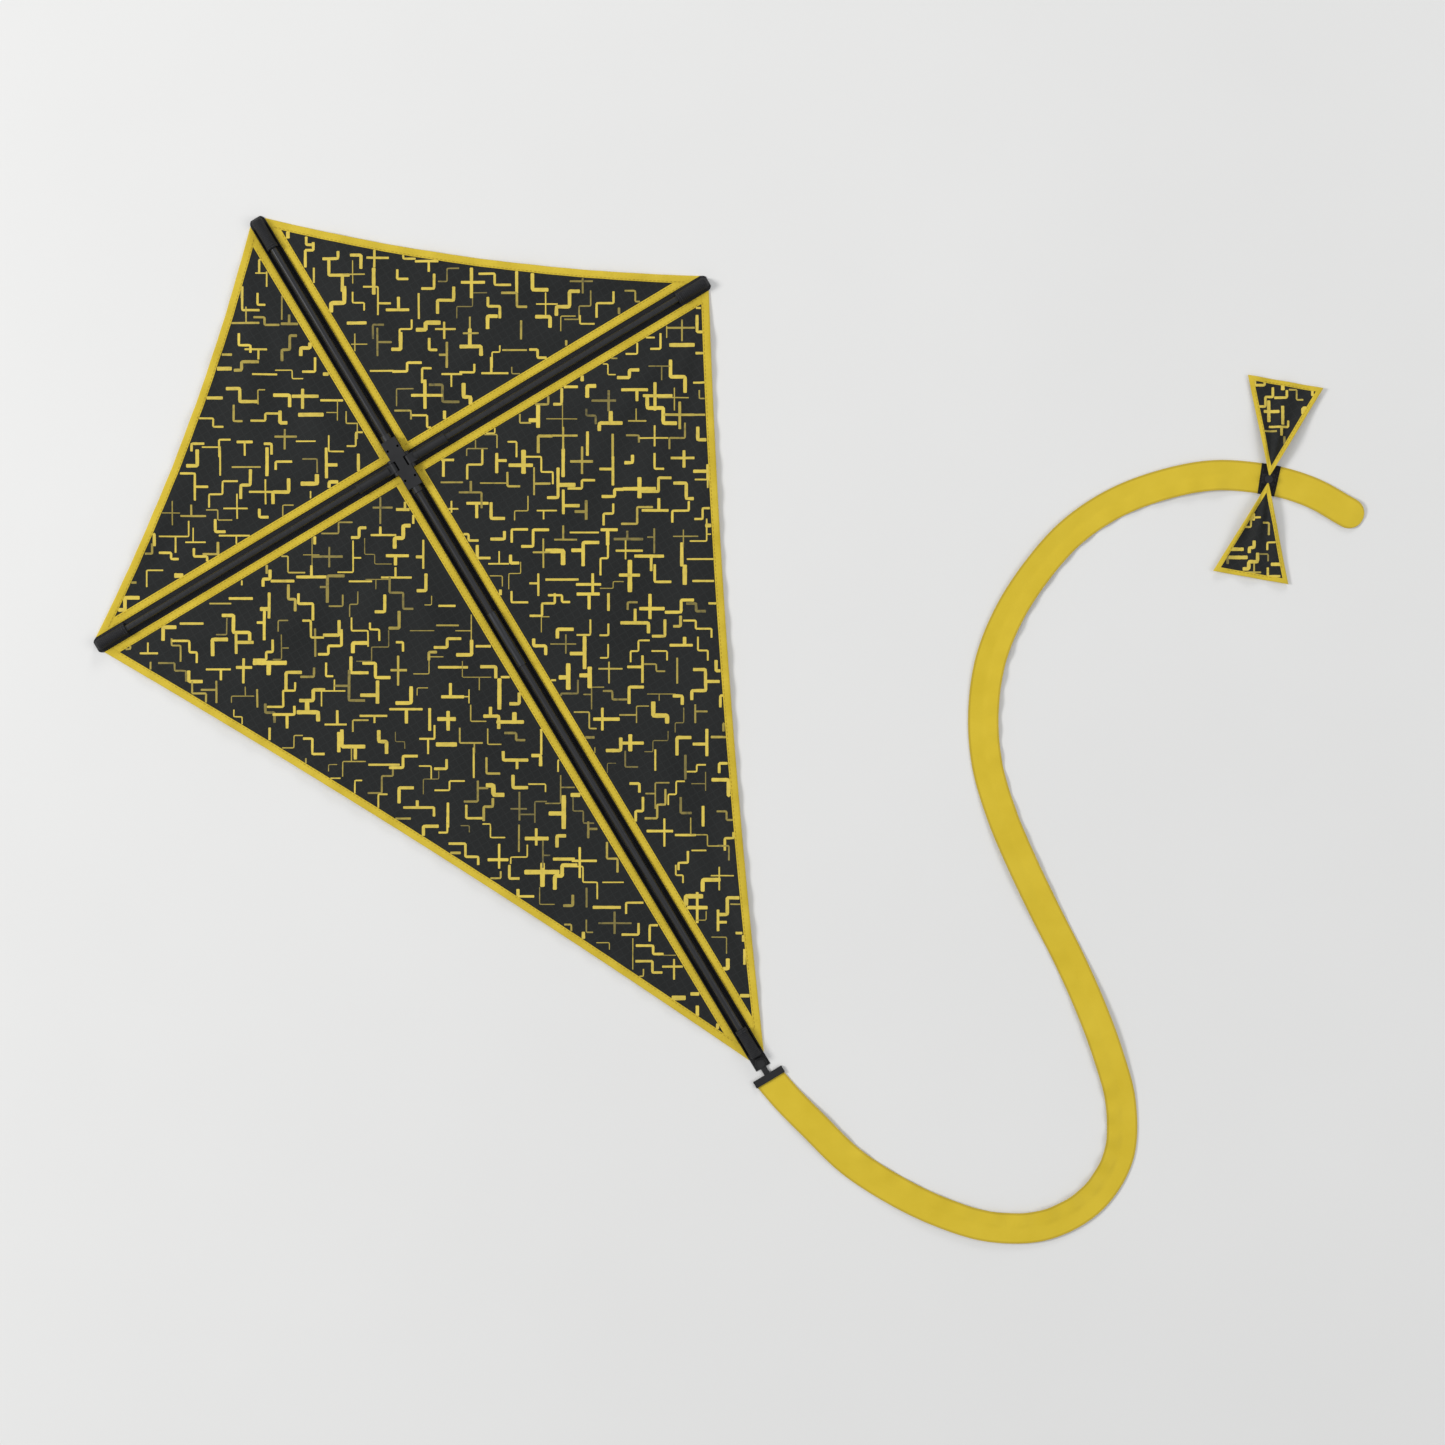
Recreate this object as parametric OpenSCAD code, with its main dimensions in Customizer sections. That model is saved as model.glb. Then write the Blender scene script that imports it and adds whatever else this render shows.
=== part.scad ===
// Folding diamond kite with a ribbon tail and one bow, lying face down on its sail.
// Millimetres. +Y is the nose, +X the right wing, +Z up through the frame.
// The origin is under the crossing of the spars, on the surface that the kite lies on.

/* [Sail] */
// Length of the sail from nose to lower tip
sail_len = 800; // [600:10:1000]
// Span of the sail from wing tip to wing tip
span = 580; // [440:10:720]
// Distance from the nose down to the crossing of the spars
cross_drop = 232; // [180:4:300]
// How far each upper edge curves in at its middle
upper_hollow = 10; // [4:1:20]
// How far each lower edge curves in at its middle
lower_hollow = 6; // [3:1:16]
// Thickness of the sail cloth
cloth_t = 0.4; // [0.3:0.05:0.8]
// Width of the yellow tape around every panel
tape_w = 6.5; // [4:0.5:10]
// Thickness of the yellow tape
tape_t = 0.4; // [0.3:0.05:0.8]
// Thickness of the black webbing under the spars
strip_t = 0.5; // [0.4:0.05:1]
// How far the cross webbing laps under the panels
strip_lap = 3; // [2:0.5:6]

/* [Rods] */
// Outer radius of the spine tube
spine_r = 2.75; // [2:0.05:4]
// Outer radius of the cross spar tubes
spar_r = 2.5; // [2:0.05:4]
// Wall of the tubes
tube_wall = 0.9; // [0.6:0.1:1.2]
// Distance from the crossing down to the joint in the spine
joint_drop = 168; // [100:4:260]
// Length of the ferrule over the joint
ferrule_len = 50; // [30:2:80]
// Wall of the ferrule
ferrule_wall = 1; // [0.6:0.1:1.1]
// Length of the end caps
cap_len = 16; // [12:1:22]
// Wall of the end caps
cap_wall = 1.1; // [0.8:0.1:1.4]
// Length of the webbing pockets
pocket_len = 26; // [24:1:40]
// Wall of the webbing pockets
pocket_wall = 0.5; // [0.4:0.05:0.8]

/* [Hub] */
// Length of the hub along the spine
hub_len = 44; // [38:1:60]
// Wall of the hub around the spine
hub_wall = 1; // [0.8:0.1:1.6]
// Radius of the hinge pins
pin_r = 1; // [0.8:0.05:1.5]
// Wall of the knuckles around the hinge pins
knuckle_wall = 2; // [1.5:0.1:2.6]
// Thickness of the hub's ears
ear_t = 2.7; // [2:0.1:3.2]
// Length of the sockets that hold the cross spars
socket_len = 30; // [20:1:50]
// Wall of the sockets
socket_wall = 1.35; // [1:0.05:1.5]
// Length of the stop rings on the spine
stop_len = 5; // [3:0.5:8]
// Radius of the bridle holes
bridle_r = 1; // [0.7:0.05:1.1]
// Distance of the bridle holes from the crossing
bridle_y = 14; // [11:0.5:16]

/* [Tail] */
// Width of the ribbon
ribbon_w = 25; // [16:1:32]
// Thickness of the ribbon
ribbon_t = 1.2; // [0.8:0.1:2]
// Gap between the sail's lower tip and the ribbon
tail_gap = 23; // [21:1:40]
// Distance from the swivel post to the ribbon
post_reach = 16; // [15:0.5:18]
// Radius of the swivel post and of the bow's stud
post_r = 1.5; // [1:0.1:2]
// Length of the clamp on the ribbon's end
clamp_len = 6; // [5:0.5:8]
// Height of the clamp
clamp_h = 2.4; // [2.3:0.1:4]

/* [Bow] */
// Length of each half of the bow, from its middle to its end
bow_len = 82; // [60:2:110]
// Width of each half at its end
bow_w = 63; // [44:1:80]
// Width of the yellow edging on the bow
bow_tape = 4; // [3:0.5:7]
// Radius of the knot
knot_r = 6; // [4.5:0.5:9]
// Height of the knot
knot_h = 3.6; // [3:0.2:6]
// Turn of the bow from the X axis, square to the ribbon
bow_turn = 49; // [35:1:65]

/* [Hidden] */

$fn = 64;
ARC_STEPS = 12;     // straight spans in each half of a sail edge's shallow arc
FIXED = 0.02;       // clearance of a piece held fast in a hole
FIT = 0.05;         // clearance of a rod in its socket, and of a pin that turns
GAP = 0.2;          // side clearance of the moving pieces of a hinge
CLEAR = 0.3;        // gap between the cloth of two bodies
UNDER = 0.1;        // gap between a moulded piece and the webbing under it
FAR = 2000;         // longer than anything here

// Radii and heights of the frame
cap_r = spine_r + FIT + cap_wall;
tip_cap_r = spar_r + FIT + cap_wall;
socket_r = spar_r + FIT + socket_wall;
ferrule_r = spine_r + FIT + ferrule_wall;
knuckle_r = pin_r + knuckle_wall;
pocket_under = 0.35;
rod_z = strip_t + pocket_under + max(cap_r, tip_cap_r, socket_r, ferrule_r) + FIT;

// The open channel between the panels is just wide enough for the hub's hinges
hub_half = spine_r + FIT + hub_wall;
channel = hub_half + GAP + knuckle_r;
strip_half = channel - CLEAR;
knuckle_half = channel - GAP / 2 - ear_t - GAP;
arm_reach = max(knuckle_r + 2, socket_r + 1.1);
hub_block = channel - 2 * GAP;
bridle_x = spine_r + FIT + bridle_r + (hub_block - spine_r - FIT - 2 * bridle_r) / 2;
hub_bottom = strip_t + UNDER;
hub_top = rod_z + hub_half;

// The corners of the sail
tip_x = span / 2;
nose_y = cross_drop;
tail_y = cross_drop - sail_len;
joint_y = -joint_drop;
binding_h = strip_t + cloth_t + tape_t;
binding_lip = 0.7;  // solid edge of the binding outside the slot for the cloth
corner_y = channel; // the panels' inner corners stand off both spars alike

// The tail
ribbon_y = tail_y - tail_gap;
post_y = ribbon_y + post_reach;
clip_z = strip_t + UNDER;
clip_t = 1.2;
eye_r = 5;
neck_half = 2.5;
tee_half = 5;
tee_len = 1.5;
head_t = 1;
head_r = post_r + 1.8;

// Points along the middle of the ribbon, from the clamp to the free end
ROUTE = [
    [0, 0], [4, -22], [11, -50], [22, -91], [41, -130], [65, -166], [94, -197], [132, -218], [175, -220],
    [213, -201], [237, -165], [249, -124], [257, -81], [262, -39], [265, 4], [269, 47], [275, 89],
    [286, 131], [305, 169], [332, 203], [366, 229], [405, 248], [445, 260], [488, 262], [531, 254],
    [570, 239], [605, 214], [630, 187], [648, 156]
];
BOW_AT = 26;        // the route's point that the bow is fixed to
bow_pos = [ROUTE[BOW_AT].x, ribbon_y + ROUTE[BOW_AT].y];
bow_z = ribbon_t + CLEAR;

// ---- shapes that repeat ----

// A cylinder along X or Y whose axis runs at rod height
module rod_x(r, x0, x1) translate([x0, 0, rod_z]) rotate([0, 90, 0]) cylinder(r = r, h = x1 - x0);
module rod_y(r, y0, y1) translate([0, y0, rod_z]) rotate([-90, 0, 0]) cylinder(r = r, h = y1 - y0);

// A block between two corners
module block(from, to) translate(from) cube(to - from);

// The left wing mirrors the right one
module side(s) mirror([s < 0 ? 1 : 0, 0, 0]) children();

// A webbing pocket that opens towards -Y, with its closed end at y = 0: a sleeve on a sewn base
module pocket(bore_r) {
    difference() {
        union() {
            translate([0, -pocket_len, rod_z]) rotate([-90, 0, 0])
                cylinder(r = bore_r + pocket_wall, h = pocket_len);
            block([-strip_half, -pocket_len, strip_t], [strip_half, 0, strip_t + 2 * pocket_wall]);
        }
        translate([0, -pocket_len - 1, rod_z]) rotate([-90, 0, 0])
            cylinder(r = bore_r, h = pocket_len + 1 - 2 * pocket_wall);
        block([-channel, -pocket_len - 1, -channel], [channel, 1, strip_t]);
    }
}

// A cap over the end of a rod, with its closed end at y = 0 and its mouth towards -Y
module cap(rod, outer) {
    translate([0, -cap_len, rod_z]) rotate([-90, 0, 0]) difference() {
        union() {
            cylinder(r = outer, h = cap_len - 1);
            cylinder(r = outer - 0.8, h = cap_len);
        }
        translate([0, 0, -1]) cylinder(r = rod + FIT, h = cap_len + 1 - 2 * cap_wall);
    }
}
cap_end = 2 * pocket_wall + FIT;       // from the pocket's closed end to the cap
rod_end = cap_end + 2 * cap_wall + FIT; // and to the rod

// ---- outlines of the panels on the right wing ----

// One corner panel as a plain triangle: a is at the wing tip, b at the nose or the lower tip
function tip_corner(up) = [tip_x, up * corner_y];
function end_corner(up) = [channel, up > 0 ? nose_y : tail_y];
function hollow(up) = up > 0 ? upper_hollow : lower_hollow;

// The slice of a large disc that bites the hollow edge out of the triangle, grown by "more"
module edge_disc(up, more) {
    a = tip_corner(up);
    b = end_corner(up);
    chord = norm(b - a);
    r = (chord * chord / 4 + hollow(up) * hollow(up)) / (2 * hollow(up));
    outward = [abs(b.y - a.y), up * abs(b.x - a.x)] / chord;
    inward = atan2(-outward.y, -outward.x);
    spread = 1.2 * asin(chord / 2 / r) / ARC_STEPS;
    translate((a + b) / 2 + outward * (r - hollow(up))) polygon([
        [0, 0],
        for (i = [-ARC_STEPS : ARC_STEPS]) (r + more) * [cos(inward + i * spread), sin(inward + i * spread)]
    ]);
}
module panel_2d(up, inset) difference() {
    polygon([[channel, up * corner_y], tip_corner(up), end_corner(up)]);
    edge_disc(up, inset);
}
module binding_2d(up, from, to) intersection() {
    panel_2d(up, from);
    edge_disc(up, to);
}
// Everything within "w" of the cross channel or of the spine channel
module cross_band(w) translate([0, -corner_y - w]) square([FAR, 2 * (corner_y + w)]);
module spine_band(w) translate([-FAR, -FAR]) square([FAR + channel + w, 2 * FAR]);

// ---- cloth of a wing ----

module panel(up) color("#2b2d2c") translate([0, 0, strip_t]) linear_extrude(cloth_t)
    panel_2d(up, binding_lip + CLEAR);

module binding(up) color("#c9ad3c") difference() {
    linear_extrude(binding_h) binding_2d(up, 0, tape_w);
    translate([0, 0, strip_t]) linear_extrude(cloth_t) binding_2d(up, binding_lip, tape_w + 1);
}

module cross_tape(up) color("#c9ad3c") translate([0, 0, strip_t + cloth_t]) linear_extrude(tape_t)
    intersection() {
        panel_2d(up, tape_w);
        cross_band(tape_w);
    }

module spine_tape(up) color("#c9ad3c") translate([0, 0, strip_t + cloth_t]) linear_extrude(tape_t)
    difference() {
        intersection() {
            panel_2d(up, tape_w);
            spine_band(tape_w);
        }
        cross_band(tape_w);
    }

module cross_strip() color("#1c1c1d") linear_extrude(strip_t) {
    translate([channel, -corner_y]) square([tip_x - channel, 2 * corner_y]);
    for (up = [1, -1]) difference() {
        translate([channel, up > 0 ? 0 : -corner_y - strip_lap])
            square([tip_x - channel, corner_y + strip_lap]);
        edge_disc(up, tape_w);
    }
}

// ---- frame of a wing ----

module hinge_arm() color("#202123") difference() {
    union() {
        translate([channel, -knuckle_half, rod_z]) rotate([-90, 0, 0])
            cylinder(r = knuckle_r, h = 2 * knuckle_half);
        block([channel, -knuckle_half, rod_z - knuckle_r * 0.8],
              [channel + arm_reach + 1, knuckle_half, rod_z + knuckle_r * 0.8]);
        rod_x(socket_r, channel + arm_reach, channel + arm_reach + socket_len);
        for (end = [0, 1])
            rod_x(socket_r + 0.25, channel + arm_reach + end * (socket_len - 3),
                  channel + arm_reach + end * (socket_len - 3) + 3);
    }
    translate([channel, -channel, rod_z]) rotate([-90, 0, 0]) cylinder(r = pin_r + FIT, h = 2 * channel);
    rod_x(spar_r + FIT, socket_x, channel + arm_reach + socket_len + 1);
}
socket_x = channel + arm_reach + 4;

module cross_spar() color("#17181a") difference() {
    rod_x(spar_r, socket_x + FIT, tip_x - rod_end);
    rod_x(spar_r - tube_wall, socket_x - 1, tip_x);
}

module tip_cap() color("#222325") translate([tip_x - cap_end, 0, 0]) rotate([0, 0, -90])
    cap(spar_r, tip_cap_r);
module tip_pocket() color("#1c1c1d") translate([tip_x, 0, 0]) rotate([0, 0, -90])
    pocket(tip_cap_r + FIT);

// ---- fixed pieces ----

module centre_strip() color("#1c1c1d") linear_extrude(strip_t) difference() {
    union() {
        translate([-strip_half, post_y]) square([2 * strip_half, nose_y - post_y]);
        translate([0, post_y]) circle(r = strip_half);
    }
    translate([0, post_y]) circle(r = post_r + FIXED);
    for (x = [-1, 1], y = [-1, 1]) translate([x * bridle_x, y * bridle_y]) circle(r = bridle_r);
}

module spine_tube(y0, y1) color("#17181a") difference() {
    rod_y(spine_r, y0, y1);
    rod_y(spine_r - tube_wall, y0 - 1, y1 + 1);
}
module spine_upper() spine_tube(joint_y, nose_y - rod_end);
module spine_lower() spine_tube(tail_y + rod_end, joint_y - FIT);

module spine_ferrule() color("#34363a") difference() {
    rod_y(ferrule_r, joint_y - ferrule_len / 2, joint_y + ferrule_len / 2);
    rod_y(spine_r + FIT, joint_y - ferrule_len, joint_y + ferrule_len);
}

module nose_cap() color("#222325") translate([0, nose_y - cap_end, 0]) cap(spine_r, cap_r);
module tail_cap() color("#222325") translate([0, tail_y + cap_end, 0]) rotate([0, 0, 180])
    cap(spine_r, cap_r);
module nose_pocket() color("#1c1c1d") translate([0, nose_y, 0]) pocket(cap_r + FIT);
module tail_pocket() color("#1c1c1d") translate([0, tail_y, 0]) rotate([0, 0, 180]) pocket(cap_r + FIT);

module hub() color("#202123") difference() {
    union() {
        // the narrow middle between the two knuckles
        block([-hub_half, -channel, hub_bottom], [hub_half, channel, hub_top]);
        for (y = [-1, 1]) {
            near = knuckle_half + GAP;
            far = near + ear_t;
            // ears around the hinge pins
            for (x = [-1, 1]) translate([x * channel, y > 0 ? near : -far, rod_z]) rotate([-90, 0, 0])
                cylinder(r = knuckle_r, h = ear_t);
            block([-channel, y > 0 ? near : -far, rod_z - knuckle_r],
                  [channel, y > 0 ? far : -near, rod_z + knuckle_r]);
            // the blocks with the bridle holes
            block([-hub_block, y > 0 ? near : -hub_len / 2, hub_bottom],
                  [hub_block, y > 0 ? hub_len / 2 : -near, hub_top]);
        }
    }
    rod_y(spine_r + FIT, -hub_len, hub_len);
    for (x = [-1, 1]) translate([x * channel, -hub_len, rod_z]) rotate([-90, 0, 0])
        cylinder(r = pin_r + FIXED, h = 2 * hub_len);
    for (x = [-1, 1], y = [-1, 1]) translate([x * bridle_x, y * bridle_y, -1])
        cylinder(r = bridle_r, h = hub_top + 2);
}

module hub_stops() color("#2a2b2d") for (y = [-1, 1]) difference() {
    rod_y(cap_r, y > 0 ? hub_len / 2 + FIT : -hub_len / 2 - FIT - stop_len,
          y > 0 ? hub_len / 2 + FIT + stop_len : -hub_len / 2 - FIT);
    rod_y(spine_r + FIXED, -hub_len, hub_len);
}

module hinge_pins() color("#b9bcc0") for (x = [-1, 1])
    translate([x * channel, -knuckle_half - GAP - ear_t, rod_z]) rotate([-90, 0, 0])
        cylinder(r = pin_r, h = 2 * (knuckle_half + GAP + ear_t));

module tail_post() color("#b9bcc0") translate([0, post_y, 0]) {
    cylinder(r = post_r, h = clip_z + clip_t + UNDER);
    translate([0, 0, clip_z + clip_t + UNDER]) cylinder(r = head_r, h = head_t);
}

// ---- tail ----

// The neck and its tee, grown on every side by "more"
module clip_neck(more) {
    block([-neck_half - more, ribbon_y + clamp_len / 2 - more, clip_z - more],
          [neck_half + more, post_y - post_r - 1, clip_z + clip_t + more]);
    block([-tee_half - more, ribbon_y + clamp_len / 2 - tee_len - more, clip_z - more],
          [tee_half + more, ribbon_y + clamp_len / 2 + more, clip_z + clip_t + more]);
}

module tail_clip() color("#202123") difference() {
    union() {
        translate([0, post_y, clip_z]) cylinder(r = eye_r, h = clip_t);
        clip_neck(0);
    }
    translate([0, post_y, 0]) cylinder(r = post_r + FIT, h = FAR);
}

module ribbon_clamp() color("#202123") difference() {
    block([-ribbon_w / 2 - 1, ribbon_y, 0], [ribbon_w / 2 + 1, ribbon_y + clamp_len, clamp_h]);
    clip_neck(FIT);
}

// Two spans between each pair of route points, on a smooth curve through them all
function mid(p, i) = i == 0 || i == len(p) - 2
    ? (p[i] + p[i + 1]) / 2
    : (9 * (p[i] + p[i + 1]) - p[i - 1] - p[i + 2]) / 16;
function smooth(p) = [for (i = [0 : len(p) - 1]) each i < len(p) - 1 ? [p[i], mid(p, i)] : [p[i]]];
function ahead(p, i) = let (d = p[min(i + 1, len(p) - 1)] - p[max(i - 1, 0)]) d / norm(d);
function across(p, i) = let (d = i == 0 ? [0, -1] : ahead(p, i)) [-d.y, d.x];

module ribbon_2d() {
    p = smooth(ROUTE);
    last = len(p) - 1;
    heading = atan2(ahead(p, last).y, ahead(p, last).x);
    polygon([
        for (i = [0 : last]) p[i] + across(p, i) * ribbon_w / 2,
        for (a = [75 : -15 : -75]) p[last] + ribbon_w / 2 * [cos(heading + a), sin(heading + a)],
        for (i = [last : -1 : 0]) p[i] - across(p, i) * ribbon_w / 2
    ]);
}

module tail_ribbon() color("#d2b53f") difference() {
    translate([0, ribbon_y, 0]) linear_extrude(ribbon_t) ribbon_2d();
    translate([bow_pos.x, bow_pos.y, -1]) cylinder(r = post_r + FIXED, h = ribbon_t + 2);
}

module bow_stud() color("#b9bcc0") translate([bow_pos.x, bow_pos.y, 0]) {
    cylinder(r = post_r, h = bow_z + knot_h + UNDER);
    translate([0, 0, bow_z + knot_h + UNDER]) cylinder(r = head_r, h = head_t);
}

// ---- bow ----

module at_bow() translate([bow_pos.x, bow_pos.y, bow_z]) rotate([0, 0, bow_turn]) children();

// One half of the bow, pulled in by "inset" on all three sides
module bow_2d(inset) {
    slope = bow_w / 2 / bow_len;
    point = inset * sqrt(1 + 1 / (slope * slope));
    end = bow_len - inset;
    difference() {
        polygon([[point, 0], [end, (end - point) * slope], [end, -(end - point) * slope]]);
        circle(r = knot_r + UNDER);
    }
}
module bow_half(turn) color("#2b2d2c") at_bow() rotate([0, 0, turn]) translate([0, 0, tape_t / 2])
    linear_extrude(cloth_t) bow_2d(bow_tape);
module bow_edging(turn) color("#c9ad3c") at_bow() rotate([0, 0, turn])
    linear_extrude(cloth_t + tape_t) difference() {
        bow_2d(0);
        bow_2d(bow_tape);
    }
module bow_knot() color("#1c1c1d") at_bow() difference() {
    cylinder(r = knot_r, h = knot_h);
    translate([0, 0, -1]) cylinder(r = post_r + FIT, h = knot_h + 2);
}

// ---- the nodes ----

centre_strip();
spine_upper();
spine_lower();
spine_ferrule();
nose_cap();
tail_cap();
nose_pocket();
tail_pocket();
hub();
hub_stops();
hinge_pins();
tail_post();

side(1) hinge_arm();  // right_hinge_arm
side(1) cross_spar();  // right_cross_spar
side(1) tip_cap();  // right_tip_cap
side(1) tip_pocket();  // right_tip_pocket
side(1) cross_strip();  // right_cross_strip
side(1) panel(1);  // right_upper_panel
side(1) binding(1);  // right_upper_binding
side(1) spine_tape(1);  // right_upper_spine_tape
side(1) cross_tape(1);  // right_upper_cross_tape
side(1) panel(-1);  // right_lower_panel
side(1) binding(-1);  // right_lower_binding
side(1) spine_tape(-1);  // right_lower_spine_tape
side(1) cross_tape(-1);  // right_lower_cross_tape

side(-1) hinge_arm();  // left_hinge_arm
side(-1) cross_spar();  // left_cross_spar
side(-1) tip_cap();  // left_tip_cap
side(-1) tip_pocket();  // left_tip_pocket
side(-1) cross_strip();  // left_cross_strip
side(-1) panel(1);  // left_upper_panel
side(-1) binding(1);  // left_upper_binding
side(-1) spine_tape(1);  // left_upper_spine_tape
side(-1) cross_tape(1);  // left_upper_cross_tape
side(-1) panel(-1);  // left_lower_panel
side(-1) binding(-1);  // left_lower_binding
side(-1) spine_tape(-1);  // left_lower_spine_tape
side(-1) cross_tape(-1);  // left_lower_cross_tape

tail_clip();
ribbon_clamp();
tail_ribbon();
bow_stud();

bow_knot();
bow_half(0);  // bow_upper
bow_half(180);  // bow_lower
bow_edging(0);  // bow_upper_edging
bow_edging(180);  // bow_lower_edging
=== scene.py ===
"""Looks of a folding diamond kite: bound sail panels, rods, webbing, a ribbon tail and its bow.

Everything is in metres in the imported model's frame: +Y is the nose, +X the right wing, +Z up from
the sail to the rods. The kite lies on its sail.
"""
import itertools
import math
import random

import bmesh
import bpy
import numpy as np
from mathutils import Matrix, Vector


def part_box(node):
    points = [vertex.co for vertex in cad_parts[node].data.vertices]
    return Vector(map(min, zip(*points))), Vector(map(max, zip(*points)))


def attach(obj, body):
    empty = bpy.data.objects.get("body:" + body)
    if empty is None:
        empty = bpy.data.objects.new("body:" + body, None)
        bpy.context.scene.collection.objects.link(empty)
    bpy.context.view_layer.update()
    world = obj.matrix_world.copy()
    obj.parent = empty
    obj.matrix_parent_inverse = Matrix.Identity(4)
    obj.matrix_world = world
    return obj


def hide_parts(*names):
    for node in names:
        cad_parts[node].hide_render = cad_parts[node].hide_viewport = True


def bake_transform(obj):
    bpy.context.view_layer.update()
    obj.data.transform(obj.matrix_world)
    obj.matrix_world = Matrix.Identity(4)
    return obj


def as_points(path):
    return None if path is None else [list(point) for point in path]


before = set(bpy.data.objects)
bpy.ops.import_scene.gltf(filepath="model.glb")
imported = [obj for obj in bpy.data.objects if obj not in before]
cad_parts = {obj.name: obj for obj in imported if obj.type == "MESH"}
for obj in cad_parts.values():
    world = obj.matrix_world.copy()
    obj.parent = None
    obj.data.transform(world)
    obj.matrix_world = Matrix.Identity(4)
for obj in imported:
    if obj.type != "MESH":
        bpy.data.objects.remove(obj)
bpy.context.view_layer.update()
MM = 0.001
SIDES = {"right": 1, "left": -1}
HALVES = {"upper": 1, "lower": -1}

# ---- sizes taken from the frame ----
# The panels lie CHANNEL away from the rods' axes
(CHANNEL, _, _), (TIP_X, NOSE_Y, _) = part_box("right_upper_binding")
TAIL_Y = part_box("right_lower_binding")[0].y
ENDS = {1: NOSE_Y, -1: TAIL_Y}
STRIP_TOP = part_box("right_cross_strip")[1].z
CLOTH_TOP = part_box("right_upper_panel")[1].z
TAPE_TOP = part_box("right_upper_cross_tape")[1].z
TAPE_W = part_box("right_upper_cross_tape")[1].y - CHANNEL
STRIP_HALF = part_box("nose_pocket")[1].x
POCKET_LEN = NOSE_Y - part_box("nose_pocket")[0].y
ROD_Z = sum(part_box("spine_upper"), Vector()).z / 2
POST_Y = sum(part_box("tail_post"), Vector()).y / 2
CLAMP_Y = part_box("ribbon_clamp")[0].y
RIBBON_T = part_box("tail_ribbon")[1].z
STUD_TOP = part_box("bow_stud")[1].z

# ---- sizes of its own ----
HOLLOWS = {1: 10 * MM, -1: 6 * MM}   # how far the outer edges curve in
LAP = 3 * MM                         # the cross webbing under the panels
RIBBON_W = 25 * MM
BOW_LEN = 82 * MM
BOW_W = 63 * MM
BOW_TAPE = 4 * MM
BOW_TURN = math.radians(49)
CELL = 4.5 * MM                      # how finely the cloth is divided

# The middle of the ribbon, from the clamp to the free end
ROUTE = [
    (0, 0), (0.004, -0.022), (0.011, -0.050), (0.022, -0.091), (0.041, -0.130), (0.065, -0.166),
    (0.094, -0.197), (0.132, -0.218), (0.175, -0.220), (0.213, -0.201), (0.237, -0.165),
    (0.249, -0.124), (0.257, -0.081), (0.262, -0.039), (0.265, 0.004), (0.269, 0.047),
    (0.275, 0.089), (0.286, 0.131), (0.305, 0.169), (0.332, 0.203), (0.366, 0.229),
    (0.405, 0.248), (0.445, 0.260), (0.488, 0.262), (0.531, 0.254), (0.570, 0.239),
    (0.605, 0.214), (0.630, 0.187), (0.648, 0.156),
]
BOW_AT = 26
BOW_X, BOW_Y = ROUTE[BOW_AT][0], CLAMP_Y + ROUTE[BOW_AT][1]


def add_object(name, data):
    made = bpy.data.objects.new(name, data)
    bpy.context.scene.collection.objects.link(made)
    return made


# ---- camera ----

# The drawing shows the kite square on, with its nose turned 30.9 degrees to the left of upright.
VIEW_TURN = math.radians(30.9)
VIEW_WIDTH = 1.19
VIEW_CENTRE = Vector((0.117, -0.318, 0))
LENS, SENSOR = 85, 36


def make_camera():
    data = bpy.data.cameras.new("camera")
    data.lens = LENS
    data.sensor_width = SENSOR
    camera = add_object("camera", data)
    distance = VIEW_WIDTH * LENS / SENSOR
    camera.matrix_world = (Matrix.Translation(VIEW_CENTRE + Vector((0, 0, distance)))
                           @ Matrix.Rotation(-VIEW_TURN, 4, "Z"))
    bpy.context.scene.camera = camera


make_camera()


# ---- meshes ----

def make_piece(name, verts, faces, material, body, slot, smooth=True, fuse=True):
    """A mesh piece that rides on a body, or on none yet. Points that coincide are joined."""
    mesh = bpy.data.meshes.new(name)
    mesh.from_pydata(verts, [], faces)
    work = bmesh.new()
    work.from_mesh(mesh)
    if fuse:
        bmesh.ops.remove_doubles(work, verts=work.verts, dist=1e-6)
        bmesh.ops.dissolve_degenerate(work, edges=work.edges, dist=1e-6)
    bmesh.ops.recalc_face_normals(work, faces=work.faces)
    work.to_mesh(mesh)
    work.free()
    mesh.materials.append(material)
    if smooth:
        mesh.shade_smooth()
        mesh.set_sharp_from_angle(angle=math.radians(50))
    piece = add_object(name, mesh)
    if body:
        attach(piece, body)
    return piece


def set_along(piece, across, along):
    """Gives a piece made of rows of points its place across and along its weave, in metres."""
    index = np.empty(len(piece.data.loops), int)
    piece.data.loops.foreach_get("vertex_index", index)
    row, column = np.divmod(index % (len(across) * len(along)), len(across))
    places = np.column_stack([np.asarray(across)[column], np.asarray(along)[row]])
    piece.data.uv_layers.new(name="along").data.foreach_set("uv", places.ravel())


def grid_faces(rows, columns, first=0, closed=False):
    """Faces of a grid of points stored row by row. closed joins the last column to the first."""
    index = first + np.arange(rows * columns).reshape(rows, columns)
    if closed:
        index = np.column_stack([index, index[:, 0]])
    return np.stack([index[:-1, :-1], index[:-1, 1:], index[1:, 1:], index[1:, :-1]],
                    axis=-1).reshape(-1, 4).tolist()


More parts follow.
